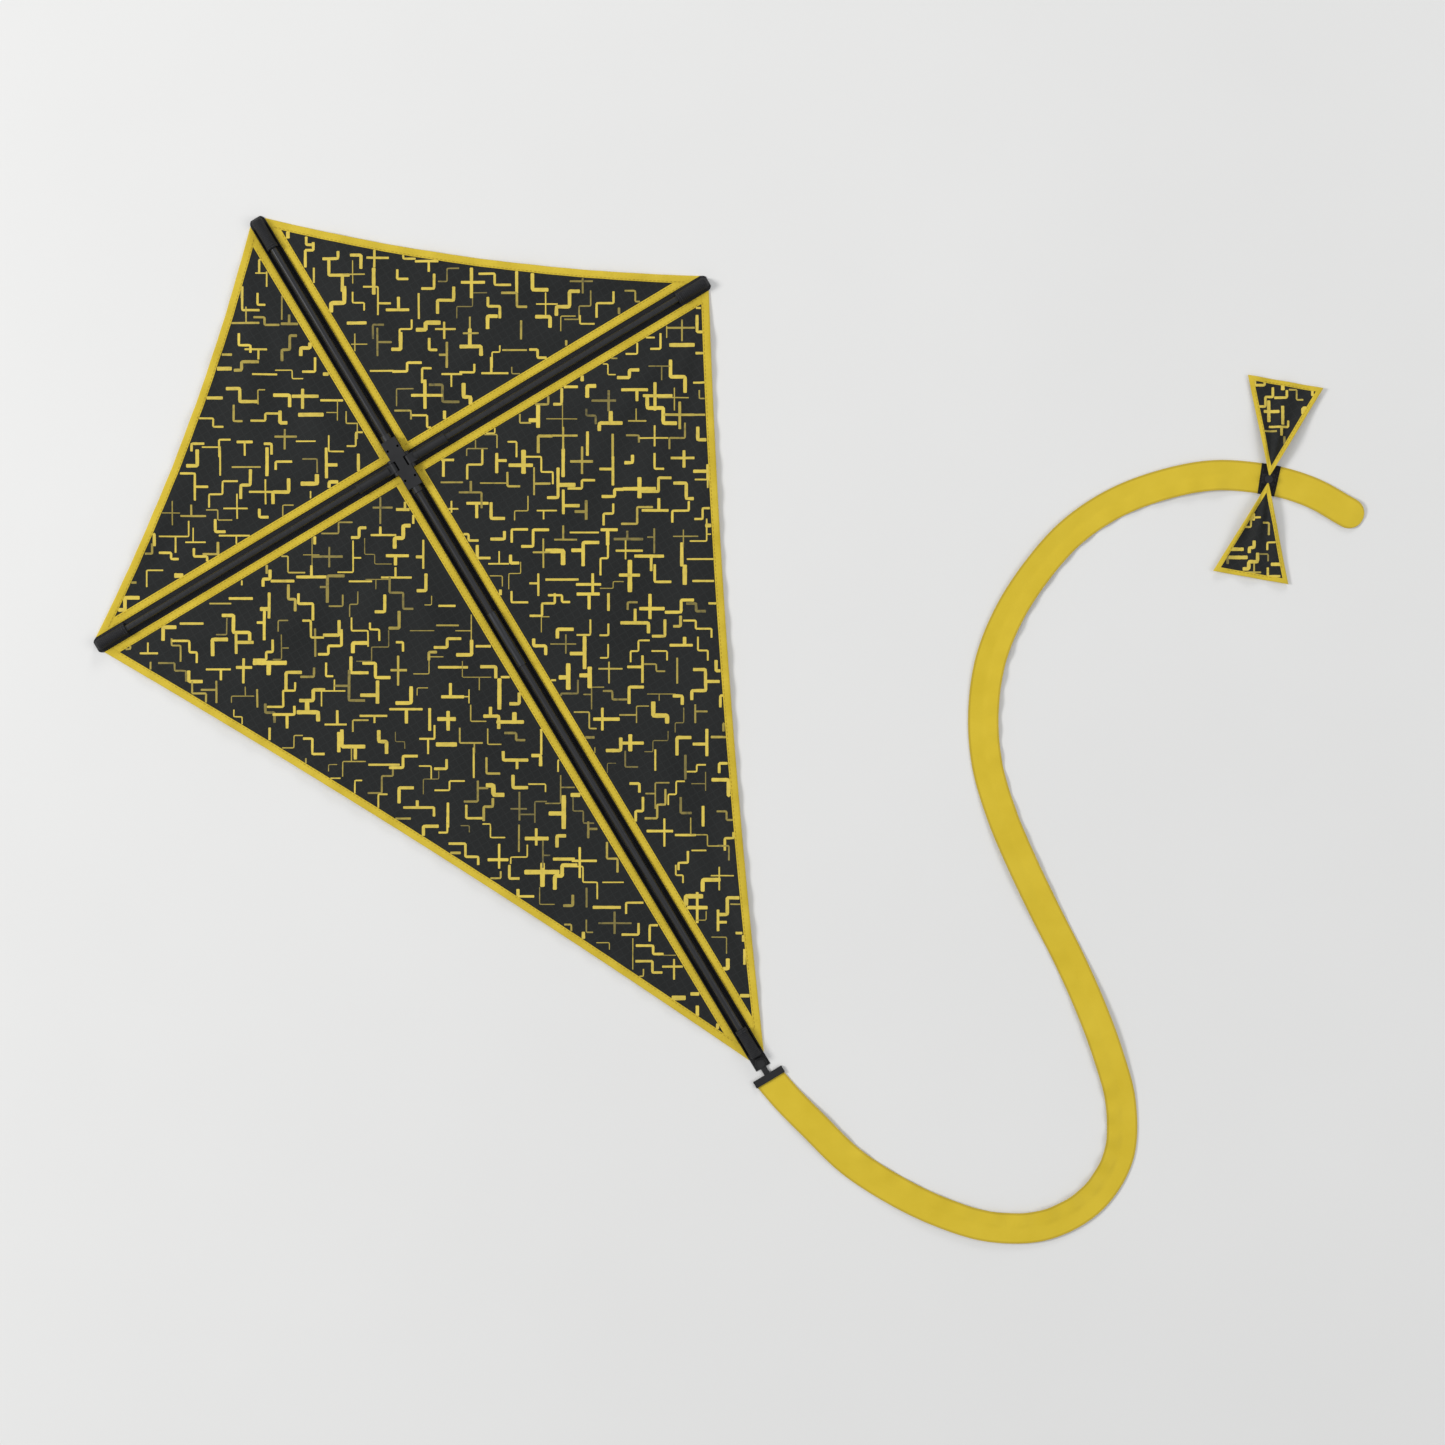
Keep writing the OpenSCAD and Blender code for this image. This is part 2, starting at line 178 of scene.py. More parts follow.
def slab(top, bottom):
    """A closed sheet between two grids of points, each an array of rows x columns x 3."""
    rows, columns = top.shape[:2]
    count = rows * columns
    index = np.arange(count).reshape(rows, columns)
    rim = np.concatenate([index[0], index[1:, -1], index[-1, -2::-1], index[-2:0:-1, 0]]).tolist()
    faces = grid_faces(rows, columns) + grid_faces(rows, columns, count)
    faces += [(a, b, b + count, a + count) for a, b in zip(rim, rim[1:] + rim[:1])]
    return np.concatenate([top.reshape(-1, 3), bottom.reshape(-1, 3)]), faces


def skin(rings, close_ends=True):
    """A closed tube over rings of points, an array of rings x points x 3."""
    rows, columns = rings.shape[:2]
    faces = grid_faces(rows, columns, closed=True)
    if close_ends:
        faces += [tuple(range(columns)), tuple(range((rows - 1) * columns, rows * columns))]
    return rings.reshape(-1, 3), faces


def joined(parts):
    """Several (points, faces) as one."""
    verts, faces, count = [], [], 0
    for points, polygons in parts:
        verts.append(points)
        faces += [[i + count for i in polygon] for polygon in polygons]
        count += len(points)
    return np.concatenate(verts), faces


def make_joined(name, parts, material, body, slot):
    """One piece of many small closed parts, such as stitches."""
    return make_piece(name, *joined(parts), material, body, slot, smooth=False, fuse=False)


def flat(x, y, z):
    """Points at x, y and z, whose shapes may differ."""
    return np.stack(np.broadcast_arrays(x, y, z), axis=-1)


def straight(a, b):
    """A line in plan from a to b."""
    return lambda t: (a[0] + (b[0] - a[0]) * t, a[1] + (b[1] - a[1]) * t)


def walk(line):
    """How far along a line of points each one is."""
    return np.concatenate([[0], np.cumsum(np.linalg.norm(np.diff(line, axis=0), axis=1))])


def look_up(s, walked, rows):
    """Rows of an array with two columns, at distances s along it."""
    return np.column_stack([np.interp(s, walked, rows[:, k]) for k in (0, 1)])


def left_of(heading):
    return np.column_stack([-heading[:, 1], heading[:, 0]])


def smoothstep(x):
    x = np.clip(x, 0, 1)
    return x * x * (3 - 2 * x)


# ---- the sail's outline and how it lies ----

def find_arc(up):
    """Centre and radius of the arc along the outer edge of an upper (1) or lower (-1) panel."""
    tip = np.array([TIP_X, up * CHANNEL])
    end = np.array([CHANNEL, ENDS[up]])
    chord = np.linalg.norm(end - tip)
    radius = (chord ** 2 / 4 + HOLLOWS[up] ** 2) / (2 * HOLLOWS[up])
    outward = np.array([abs(end[1] - tip[1]), up * abs(end[0] - tip[0])]) / chord
    return (tip + end) / 2 + outward * (radius - HOLLOWS[up]), radius


ARCS = {up: find_arc(up) for up in (1, -1)}


def edge_x(up, inset, y):
    """Where the outer edge, moved in by inset, is at that y."""
    centre, radius = ARCS[up]
    return centre[0] - np.sqrt((radius + inset) ** 2 - (y - centre[1]) ** 2)


def edge_y(up, inset, x):
    centre, radius = ARCS[up]
    return centre[1] - up * np.sqrt((radius + inset) ** 2 - (x - centre[0]) ** 2)


def edge_point(up, inset, t):
    """Points on the outer edge moved in by inset, from the wing tip (t = 0) to the spine (t = 1)."""
    centre, radius = ARCS[up]
    start = np.arctan2(up * CHANNEL - centre[1], edge_x(up, inset, up * CHANNEL) - centre[0])
    end = np.arctan2(edge_y(up, inset, CHANNEL) - centre[1], CHANNEL - centre[0])
    angle = start + (end - start) * t
    return centre[0] + (radius + inset) * np.cos(angle), centre[1] + (radius + inset) * np.sin(angle)


# Creases from the corners of each panel: how many in a turn, their phase, and their relative height
CREASES = {
    (1, 1): [("tip", 17, 0.6, 0.9), ("end", 19, 2.0, 1.1), ("hub", 15, 1.0, 0.7)],
    (1, -1): [("tip", 21, 2.4, 1.0), ("end", 33, 0.4, 1.1), ("hub", 13, 3.0, 0.8)],
    (-1, 1): [("tip", 19, 1.8, 0.9), ("end", 17, 0.2, 1.0), ("hub", 17, 2.2, 0.7)],
    (-1, -1): [("tip", 18, 0.9, 1.1), ("end", 30, 2.7, 1.0), ("hub", 15, 1.6, 0.8)],
}
CREASE_H = 1.6 * MM
CREASE_START, CREASE_END = 170 * MM, 300 * MM   # where they are fully grown, and die away
SLACK = 1.5 * MM
SEAM_HOLD = 40 * MM    # the cloth is held down by the rods' seams up to this far from them
FLOOR_SOFT = 0.3 * MM  # how softly it meets the surface that the kite lies on
# The bound edges are drawn up a little between stitches: how high, how long and how unevenly, and
# where from the edge it is strongest and how far it reaches
PUCKER, PUCKER_LEN, UNEVEN, UNEVEN_LEN = 0.5 * MM, 27 * MM, 1.3, 71 * MM
PUCKER_IN, PUCKER_REACH = 4 * MM, 14 * MM


def crease(x, y, corner, count, phase, size):
    """The waves that fan out from one corner of a panel."""
    away_x, away_y = x - corner[0], y - corner[1]
    away = np.hypot(away_x, away_y)
    fade = np.exp(-away / CREASE_END) * smoothstep(away / CREASE_START)
    return CREASE_H * size * fade * np.sin(count * np.arctan2(away_y, away_x) + phase)


def pucker(half, x, y):
    """The waves along an outer edge."""
    centre, radius = ARCS[half]
    out_x, out_y = centre[0] - x, centre[1] - y
    from_edge = np.clip(np.hypot(out_x, out_y) - radius, 0, None)
    along = np.arctan2(out_y, out_x) * radius
    wave = 1 + np.sin(2 * math.pi * along / PUCKER_LEN + UNEVEN * np.sin(along / UNEVEN_LEN))
    return PUCKER * wave * np.exp(-((from_edge - PUCKER_IN) / PUCKER_REACH) ** 2)


def lift(side, x, y):
    """How far the sail of that side stands above its flat place. x is measured out from the spine."""
    x, y = np.broadcast_arrays(x, y)
    up = np.where(y > 0, 1, -1)
    held = smoothstep(np.minimum(x - CHANNEL, np.abs(y) - CHANNEL) / SEAM_HOLD)
    height = np.full(x.shape, SLACK)
    for half in (1, -1):
        corners = {"tip": (TIP_X, half * CHANNEL), "hub": (CHANNEL, half * CHANNEL),
                   "end": (CHANNEL, ENDS[half])}
        waves = [crease(x, y, corners[corner], *wave) for corner, *wave in CREASES[side, half]]
        height = height + np.where(up == half, sum(waves) + pucker(half, x, y), 0)
    # a soft lower limit at the surface that the kite lies on
    return held * (height + np.sqrt(height ** 2 + FLOOR_SOFT ** 2)) / 2


def on_sail(side, x, y, z):
    """Points on one wing, at height z over the sail's flat place."""
    return flat(side * x, y, z + lift(side, x, y))


# ---- strips sewn along the sail ----

# Section of a tape, as (share of its width, share of its thickness), round its outline
FLAT_SECTION = [(0, 0), (0, 0.6), (0.03, 0.9), (0.1, 1), (0.3, 1.05), (0.5, 1.08), (0.7, 1.05),
                (0.9, 1), (0.97, 0.9), (1, 0.6), (1, 0), (0.7, 0), (0.3, 0)]


def sew_strip(plan, place, low, high, width, length, section=FLAT_SECTION, cell=CELL):
    """A tape on the sail. plan(a, t) gives its points in plan for a across and t along it."""
    rows = max(3, math.ceil(length / cell) + 1)
    t = np.linspace(0, 1, rows)[:, None]
    a = np.array([share * width for share, _ in section])[None, :]
    z = np.array([low + (high - low) * share for _, share in section])[None, :]
    x, y = plan(a, t)
    return skin(place(x, y, z))


STITCH, STITCH_GAP, STITCH_W, STITCH_H = 2.4 * MM, 1.0 * MM, 0.45 * MM, 0.22 * MM
STITCH_SUNK = 0.05 * MM   # their ends go in this far
OVER_TAPE = 0.02 * MM     # a row rides this far over its tape
TAPE_SUNK = 0.03 * MM     # a tape's underside is this far in the cloth
# Stations along a stitch: how far along, and its share of the full width and height there
STITCH_SHAPE = [(0, 0.4, 0.1), (0.15, 1, 1), (0.85, 1, 1), (1, 0.4, 0.1)]


def sew_row(line, place, z, length):
    """A row of stitches. line(t) gives its points in plan, for t from 0 to 1."""
    parts = []
    for i in range(max(1, int(length / (STITCH + STITCH_GAP)))):
        start = i * (STITCH + STITCH_GAP) + STITCH_GAP / 2
        x, y = line((start + np.array([share for share, *_ in STITCH_SHAPE]) * STITCH) / length)
        run = np.array([x[-1] - x[0], y[-1] - y[0]])
        side = np.array([-run[1], run[0]]) / max(np.linalg.norm(run), 1e-9) * STITCH_W / 2
        rings = []
        for px, py, (_, full, high) in zip(x, y, STITCH_SHAPE):
            across = full * np.array([1, 0.5, -0.5, -1])
            top = STITCH_H * high
            rings.append(place(px + side[0] * across, py + side[1] * across,
                               z + np.array([-STITCH_SUNK, top, top, -STITCH_SUNK])))
        parts.append(skin(np.array(rings)))
    return parts


# ---- materials ----

class Look:
    """A material, and the nodes that feed its shader."""

    def __init__(self, name, color, roughness, **settings):
        self.material = bpy.data.materials.new(name)
        self.material.use_nodes = True
        self.shader = self.material.node_tree.nodes["Principled BSDF"]
        sockets = {socket.name.lower().replace(" ", "_"): socket for socket in self.shader.inputs}
        for key, value in {"base_color": (*color, 1), "roughness": roughness, **settings}.items():
            sockets[key].default_value = value

    def node(self, kind, output=0, **values):
        """An output of a new node. Values are its settings or inputs, by name or as i0, i1, ..."""
        made = self.material.node_tree.nodes.new("ShaderNode" + kind)
        for key, value in values.items():
            if hasattr(made, key):
                setattr(made, key, value)
                continue
            socket = made.inputs[int(key[1:])] if key[1:].isdigit() else made.inputs[key]
            if isinstance(value, bpy.types.NodeSocket):
                self.material.node_tree.links.new(value, socket)
            else:
                socket.default_value = value
        return made.outputs[output]

    def place(self, turn=0.0, stretch=(1, 1, 1)):
        """Coordinates in metres in the object's own frame, turned about Z."""
        return self.node("Mapping", Vector=self.node("TexCoord", "Object"), Rotation=(0, 0, turn),
                         Scale=stretch)

    def along(self):
        """Coordinates in metres across and along the piece's own weave."""
        return self.node("UVMap", uv_map="along")

    def threads(self, place, pitch, direction):
        """Parallel threads, from 0 to 1, a pitch apart along X or Y."""
        return self.node("TexWave", "Fac", Vector=place, wave_type="BANDS", wave_profile="SIN",
                         bands_direction=direction, Scale=math.pi / 10 / pitch, Distortion=0.0)

    def weave(self, place, pitch):
        """Threads both ways."""
        return self.calc("MAXIMUM", self.threads(place, pitch, "X"), self.threads(place, pitch, "Y"))

    def noise(self, place, scale, detail):
        return self.node("TexNoise", "Fac", Vector=place, Scale=scale, Detail=detail, Roughness=0.55)

    def blend(self, share, first, second):
        """Two colours mixed. Each is a colour or a socket."""
        first, second = [c if isinstance(c, bpy.types.NodeSocket) else (*c, 1) for c in (first, second)]
        return self.node("Mix", 2, data_type="RGBA", i0=share, i6=first, i7=second)

    def calc(self, operation, first, second=0.0, **settings):
        return self.node("Math", operation=operation, i0=first, i1=second, **settings)

    def remap(self, value, low, high, to_low=0.0, to_high=1.0):
        return self.node("MapRange", i0=value, i1=low, i2=high, i3=to_low, i4=to_high)

    def finish(self, color, roughness=None, height=None, strength=0.0, depth=0.0):
        """The material, with its colour and, where given, its roughness and bump from nodes."""
        outputs = {"Base Color": color, "Roughness": roughness}
        if height:
            outputs["Normal"] = self.node("Bump", Height=height, Strength=strength, Distance=depth)
        for name, output in outputs.items():
            if output:
                self.material.node_tree.links.new(output, self.shader.inputs[name])
        return self.material


def make_woven(name, dark, light, pitch, turn=0.0, rib=None, rough=0.8, gloss=0.25, mottle=9.0):
    """Plain woven cloth: threads both ways, uneven dye, and thicker ripstop threads if rib is given."""
    look = Look(name, light, rough, specular_ior_level=gloss)
    place = look.place(turn)
    height = look.weave(place, pitch)
    patches, fibres = look.noise(place, mottle, 4.0), look.noise(place, 900.0, 2.0)
    shade = look.calc("ADD", look.calc("MULTIPLY", patches, 0.65), look.calc("MULTIPLY", fibres, 0.35))
    color = look.blend(look.remap(shade, 0.3, 0.7), dark, light)
    if rib:
        ribs = look.remap(look.weave(place, rib), 0.93, 1.0)
        height = look.calc("ADD", height, look.calc("MULTIPLY", ribs, 1.5))
        bright = [min(1, c * 1.7) for c in light]
        color = look.blend(look.calc("MULTIPLY", ribs, 0.35), color, bright)
    roughness = look.remap(shade, 0.2, 0.8, rough - 0.08, rough + 0.08)
    return look.finish(color, roughness, height, 0.35, 0.12 * MM)


def make_print():
    """Printed strokes: bright yellow ink, thinner on some strokes, broken a little by the weave."""
    look = Look("print_ink", (0.6, 0.45, 0.08), 0.7)
    place = look.place()
    fade = look.node("Attribute", "Fac", attribute_name="fade")
    wear = look.remap(look.noise(place, 260.0, 5.0), 0.5, 0.8, 0.0, 0.28)
    worn = look.calc("ADD", fade, wear, use_clamp=True)
    color = look.blend(worn, (0.74, 0.56, 0.075), (0.10, 0.085, 0.03))
    return look.finish(color, None, look.weave(place, 0.7 * MM), 0.3, 0.1 * MM)


def make_webbing(along=1.5 * MM, across=1.0 * MM):
    """Flat black webbing: blocks of threads that pass over and under each other."""
    look = Look("webbing", (0.014, 0.014, 0.015), 0.75, specular_ior_level=0.3)
    place = look.along()
    squares = look.node("Mapping", Vector=place, Scale=(1 / across, 1 / along, 0))
    over = look.node("TexChecker", "Fac", Vector=squares, Scale=1.0)
    warp, weft = look.threads(place, across, "X"), look.threads(place, along, "Y")
    height = look.node("Mix", data_type="FLOAT", i0=over, i2=warp, i3=weft)
    # Painted shade: the colour follows the weave's height, so it is darker in the hollows between
    # threads, with random fibre tone from the noise on top.
    grain = look.calc("MULTIPLY", height, look.noise(look.place(), 700.0, 2.0))
    color = look.blend(grain, (0.006, 0.006, 0.007), (0.036, 0.036, 0.038))
    return look.finish(color, None, height, 0.6, 0.2 * MM)


def make_rod():
    """Black fibreglass tube: fine lengthwise streaks under a thin clear skin."""
    look = Look("rod_glass_fibre", (0.01, 0.01, 0.011), 0.28, coat_weight=0.35, coat_roughness=0.12)
    streaks = look.noise(look.place(stretch=(900, 14, 900)), 1.0, 3.0)
    color = look.blend(streaks, (0.005, 0.005, 0.006), (0.022, 0.022, 0.024))
    return look.finish(color, look.remap(streaks, 0.2, 0.8, 0.2, 0.4), streaks, 0.15, 0.05 * MM)


def make_plastic(name, color, roughness, grain, depth, **settings):
    """Moulded plastic or vinyl: an even colour, a fine grain and faint flow marks."""
    look = Look(name, color, roughness, **settings)
    place = look.place()
    flow = look.noise(place, 60.0, 2.0)
    color = look.blend(flow, [c * 0.7 for c in color], [c * 1.5 for c in color])
    roughness = look.remap(flow, 0.3, 0.7, roughness - 0.07, roughness + 0.07)
    return look.finish(color, roughness, look.noise(place, grain, 2.0), 0.3, depth)


def make_metal(name, color, roughness, stretch):
    """Drawn or turned metal with fine marks along its finish."""
    look = Look(name, color, roughness, metallic=1.0)
    marks = look.noise(look.place(stretch=stretch), 1.0, 4.0)
    color = look.blend(marks, [c * 0.75 for c in color], [min(1, c * 1.2) for c in color])
    roughness = look.remap(marks, 0.3, 0.7, roughness - 0.08, roughness + 0.1)
    return look.finish(color, roughness, marks, 0.2, 0.02 * MM)


def make_ribbon():
    """Yellow ribbon: fine ribs across its length, soft lights where it is handled, woven edges."""
    look = Look("ribbon_weave", (0.64, 0.46, 0.05), 0.6, specular_ior_level=0.3)
    place = look.along()
    ribs = look.threads(place, 1.1 * MM, "Y")
    across = look.calc("ABSOLUTE", look.node("SeparateXYZ", Vector=place))
    edge = look.remap(across, 10.6 * MM, 11.2 * MM)
    patches = look.remap(look.noise(look.place(), 26.0, 4.0), 0.3, 0.7)
    tone = look.blend(patches, (0.645, 0.465, 0.020), (0.705, 0.515, 0.030))
    color = look.blend(look.calc("MULTIPLY", edge, 0.5), tone, (0.40, 0.27, 0.02))
    height = look.calc("ADD", look.calc("MULTIPLY", ribs, 0.6), edge)
    return look.finish(color, None, height, 0.4, 0.2 * MM)


SAIL = make_woven("sail_cloth", (0.0083, 0.0092, 0.0087), (0.0153, 0.0166, 0.0161), 0.7 * MM,
                  rib=6 * MM, rough=0.7)
TAPE = make_woven("edge_tape", (0.56, 0.40, 0.022), (0.72, 0.535, 0.050), 0.8 * MM,
                  turn=math.radians(45), mottle=40.0)
THREAD = make_woven("yellow_thread", (0.36, 0.25, 0.02), (0.5, 0.36, 0.04), 0.3 * MM)
DARK_THREAD = make_woven("dark_thread", (0.03, 0.03, 0.032), (0.06, 0.06, 0.063), 0.3 * MM)
PRINT = make_print()
WEBBING = make_webbing()
KNOT_CLOTH = make_woven("knot_cloth", (0.006, 0.006, 0.007), (0.016, 0.016, 0.017), 0.7 * MM)
ROD = make_rod()
MOULDED = make_plastic("moulded_nylon", (0.011, 0.011, 0.012), 0.52, 1400.0, 0.04 * MM,
                       specular_ior_level=0.4)
VINYL = make_plastic("soft_vinyl", (0.015, 0.015, 0.016), 0.38, 500.0, 0.03 * MM, coat_weight=0.15)
FERRULE = make_metal("black_anodised_tube", (0.075, 0.077, 0.082), 0.36, (500, 30, 500))
STEEL = make_metal("steel_pin", (0.5, 0.5, 0.51), 0.3, (300, 40, 300))
RIBBON = make_ribbon()


# ---- the sail ----

PANEL_IN = 1 * MM   # a panel's edge is this far inside its binding's


def make_panel(name, side, up):
    """A sail panel, cut a little inside its binding, on a fan of lines from its hub corner."""
    s = np.linspace(0, 1, math.ceil(max(TIP_X, abs(ENDS[up])) / CELL) + 1)[:, None]
    t = np.linspace(0, 1, math.ceil(math.hypot(TIP_X, ENDS[up]) / CELL) + 1)[None, :]
    x, y = edge_point(up, PANEL_IN, t)
    x, y = CHANNEL + s * (x - CHANNEL), up * CHANNEL + s * (y - up * CHANNEL)
    cloth = slab(on_sail(side, x, y, CLOTH_TOP), on_sail(side, x, y, STRIP_TOP))
    return make_piece(name + "_sail", *cloth, SAIL, name.split("_")[0] + "_wing", "sail_cloth")


def spine_tape_plan(up):
    def plan(a, t):
        start, end = up * (CHANNEL + TAPE_W), edge_y(up, TAPE_W, CHANNEL + a)
        return CHANNEL + a + 0 * t, start + (end - start) * t
    return plan


def cross_tape_plan(up):
    def plan(a, t):
        end = edge_x(up, TAPE_W, up * (CHANNEL + a))
        return CHANNEL + (end - CHANNEL) * t, up * (CHANNEL + a) + 0 * t
    return plan


# A binding is folded round the edge: a rounded outer fold, and its two free edges inward
FOLD_SECTION = [(0.06, 0), (0.015, 0.15), (0, 0.5), (0.015, 0.85), (0.06, 1), (0.3, 1.04), (0.6, 1.04),
                (0.93, 1), (0.99, 0.92), (1, 0.7), (1, 0.02), (0.6, 0), (0.3, 0)]
SEW_IN = 1.1 * MM   # from a tape's edge to the stitches along it


def halved(section):
    """A section with a point more between each two."""
    ahead = section[1:] + section[:1]
    middles = [((a[0] + b[0]) / 2, (a[1] + b[1]) / 2) for a, b in zip(section, ahead)]
    return [point for pair in zip(section, middles) for point in pair]


def make_tapes(side_name, side, half, up):
    """The yellow binding and tapes round a panel, and their stitching."""
    body = side_name + "_wing"
    name = f"{side_name}_{half}"
    place = lambda x, y, z: on_sail(side, x, y, z)
    width, length = TIP_X - CHANNEL, abs(ENDS[up]) - CHANNEL
    low = CLOTH_TOP - TAPE_SUNK
    rows = [("binding", lambda a, t: edge_point(up, a, t), 0, math.hypot(width, length), FOLD_SECTION),
            ("spine_tape", spine_tape_plan(up), low, length, FLAT_SECTION),
            ("cross_tape", cross_tape_plan(up), low, width, FLAT_SECTION)]
    pieces, stitches = [], []
    for kind, plan, low, length, section in rows:
        strip = sew_strip(plan, place, low, TAPE_TOP, TAPE_W, length, section)
        piece = make_piece(f"{name}_{kind}_cloth", *strip, TAPE, body, "yellow_tape")
        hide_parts(f"{name}_{kind}")
        pieces.append(piece)
        for a in ([TAPE_W - SEW_IN] if kind == "binding" else [SEW_IN, TAPE_W - SEW_IN]):
            line = lambda t, plan=plan, a=a: plan(np.full_like(t, a), 0.01 + 0.98 * t)
            stitches += sew_row(line, place, TAPE_TOP + OVER_TAPE, length * 0.95)
    pieces.append(make_joined(name + "_stitching", stitches, THREAD, body, "yellow_tape"))
    return pieces


# ---- the print ----

PRINT_PITCH, BOW_PITCH = 19 * MM, 13.3 * MM                # from one figure to the next
SAIL_STROKES, BOW_STROKES = (0.06, 0.175), (0.13, 0.225)   # how wide strokes are, in pitches
SAIL_REACH, BOW_REACH = 0.66, 0.12                         # figures are drawn this far each way
SAIL_SEED, BOW_SEEDS = 7, (14, 15)
PRINT_H, BOW_PRINT_H = 0.17 * MM, 0.16 * MM                # the ink stands this far out of the cloth,
INK_VARIES = 0.04 * MM                                     # or up to this much less
PRINT_RIGHT = np.array([math.cos(VIEW_TURN), -math.sin(VIEW_TURN)])
PRINT_UP = np.array([math.sin(VIEW_TURN), math.cos(VIEW_TURN)])
CORNER_R = 0.7 * MM
PRINT_MARGIN = 0.4 * MM           # the print stops this far from the tapes
STRAY = 0.28                      # how far a figure may be from its place on the grid, in pitches
STEP = (0.27, 0.74)               # how long a step is, in pitches
FAINT, FAINT_WIDTH = 0.32, 0.65   # the share of figures that are rubbed, and how thin they are
FADES = {True: (0.35, 0.85), False: (0, 0.15)}
# The rounded end of a stroke: how far out, in half widths, and how wide there
STROKE_END = [(0.3, 0.95), (0.48, 0.78), (0.55, 0.5)]
# Each figure is paths of whole steps, and how often it comes
FIGURES = {
    "bar": (15, [[(0, 0), (2, 0)]]),
    "corner": (24, [[(0, 0), (1, 0), (1, 1)]]),
    "step": (22, [[(0, 0), (1, 0), (1, 1), (2, 1)]]),
    "stair": (8, [[(0, 0), (1, 0), (1, 1), (2, 1), (2, 2)]]),
    "tee": (15, [[(0, 0), (2, 0)], [(1, 0), (1, 1)]]),
    "cross": (11, [[(0, 1), (2, 1)], [(1, 0), (1, 2)]]),
    "branch": (8, [[(0, 0), (1, 0), (1, 2)], [(1, 1), (2, 1)]]),
}


def round_path(points, gap=1 * MM):
    """Points a gap apart along a path of straight runs with rounded corners."""
    line = [points[0]]
    for before, corner, after in zip(points, points[1:], points[2:]):
        inward = (before - corner) / np.linalg.norm(before - corner)
        onward = (after - corner) / np.linalg.norm(after - corner)
        line += [corner + inward * CORNER_R, corner + (inward + onward) * CORNER_R * 0.29,
                 corner + onward * CORNER_R]
    line = np.array(line + [points[-1]])
    walked = walk(line)
    return look_up(np.linspace(0, walked[-1], max(5, int(walked[-1] / gap))), walked, line)


def draw_figures(rng, reach, pitch, widths):
    """Random figures on a loose square grid, as (points, width, fade) of each path in plan."""
    shares, figures = zip(*FIGURES.values())
    count = int(reach / pitch)
    paths = []
    for i, j in itertools.product(range(-count, count + 1), repeat=2):
        middle = np.array([i + rng.uniform(-STRAY, STRAY), j + rng.uniform(-STRAY, STRAY)]) * pitch
        steps = [[0, *np.cumsum([rng.uniform(*STEP) * pitch for _ in range(2)])] for _ in range(2)]
        quarter = rng.randrange(4)
        flip = rng.choice((-1, 1))
        width = rng.uniform(*widths) * pitch
        faint = rng.random() < FAINT
        fade = rng.uniform(*FADES[faint])
        width *= FAINT_WIDTH if faint else 1
        figure = rng.choices(figures, shares)[0]
        corners = [np.array([[steps[0][u], steps[1][v]] for u, v in path]) for path in figure]
        centre = np.concatenate(corners).mean(axis=0)
        for path in corners:
            local = (path - centre) * (flip, 1)
            for _ in range(quarter):
                local = local[:, ::-1] * (-1, 1)
            local = round_path(local + middle)
            plan = local[:, :1] * PRINT_RIGHT + local[:, 1:] * PRINT_UP
            paths.append((plan, width * rng.uniform(0.8, 1.2), fade))
    return paths


def longest_run(flags):
    """Start and end of the longest run of true flags."""
    best, start = (0, 0), 0
    for flag, run in itertools.groupby(flags):
        end = start + len(list(run))
        if flag and end - start > best[1] - best[0]:
            best = start, end
        start = end
    return best


def stroke_part(rng, line, width, place, z_low, z_high, columns, every):
    """A printed stroke along a line: thin, blunt at its ends and a little uneven at its sides. It
    has a station at every so many points of the line, and at each point where the line turns."""
    heading = np.gradient(line, axis=0)
    heading /= np.linalg.norm(heading, axis=1)[:, None]
    side = left_of(heading)
    turning = np.concatenate([[0], np.abs(np.diff(np.arctan2(heading[:, 1], heading[:, 0]))) > 0.1])
    kept = [k for k in range(len(line)) if k in (0, len(line) - 1) or k % every == 0 or turning[k]]
    half = width / 2
    stations = [(line[k], side[k], rng.uniform(0.93, 1.07)) for k in kept]
    before = [(line[0] - heading[0] * half * out, side[0], full) for out, full in reversed(STROKE_END)]
    after = [(line[-1] + heading[-1] * half * out, side[-1], full) for out, full in STROKE_END]
    shares = np.linspace(-1, 1, columns)
    shares = np.concatenate([shares, shares[::-1]])
    z = np.repeat([z_high, z_low], columns)
    rings = []
    for middle, across, full in before + stations + after:
        points = middle + np.outer(shares, across) * half * full
        rings.append(place(points[:, 0], points[:, 1], z))
    return skin(np.array(rings))


def make_prints(paths, rng, name, inside, place, z_low, z_high, body, columns=3, every=3):
    """The figures that lie inside an outline, as one piece. Faint figures carry it as an attribute."""
    parts, fades = [], []
    for line, width, fade in paths:
        start, end = longest_run([inside(p) for p in line])
        if end - start < 4:
            continue
        level = rng.uniform(-1, 0) * INK_VARIES
        parts.append(stroke_part(rng, line[start:end], width, place, z_low - level, z_high + level,
                                 columns, every))
        fades += [fade] * len(parts[-1][1])
    piece = make_joined(name, parts, PRINT, body, "yellow_tape")
    piece.data.attributes.new("fade", "FLOAT", "FACE").data.foreach_set("value", fades)
    return piece


def inside_panel(side, up):
    margin = TAPE_W + PRINT_MARGIN
    centre, radius = ARCS[up]

    def test(p):
        x, y = side * p[0], p[1]
        beside = min(x, up * y) >= CHANNEL + margin
        return beside and math.hypot(x - centre[0], y - centre[1]) > radius + margin
    return test


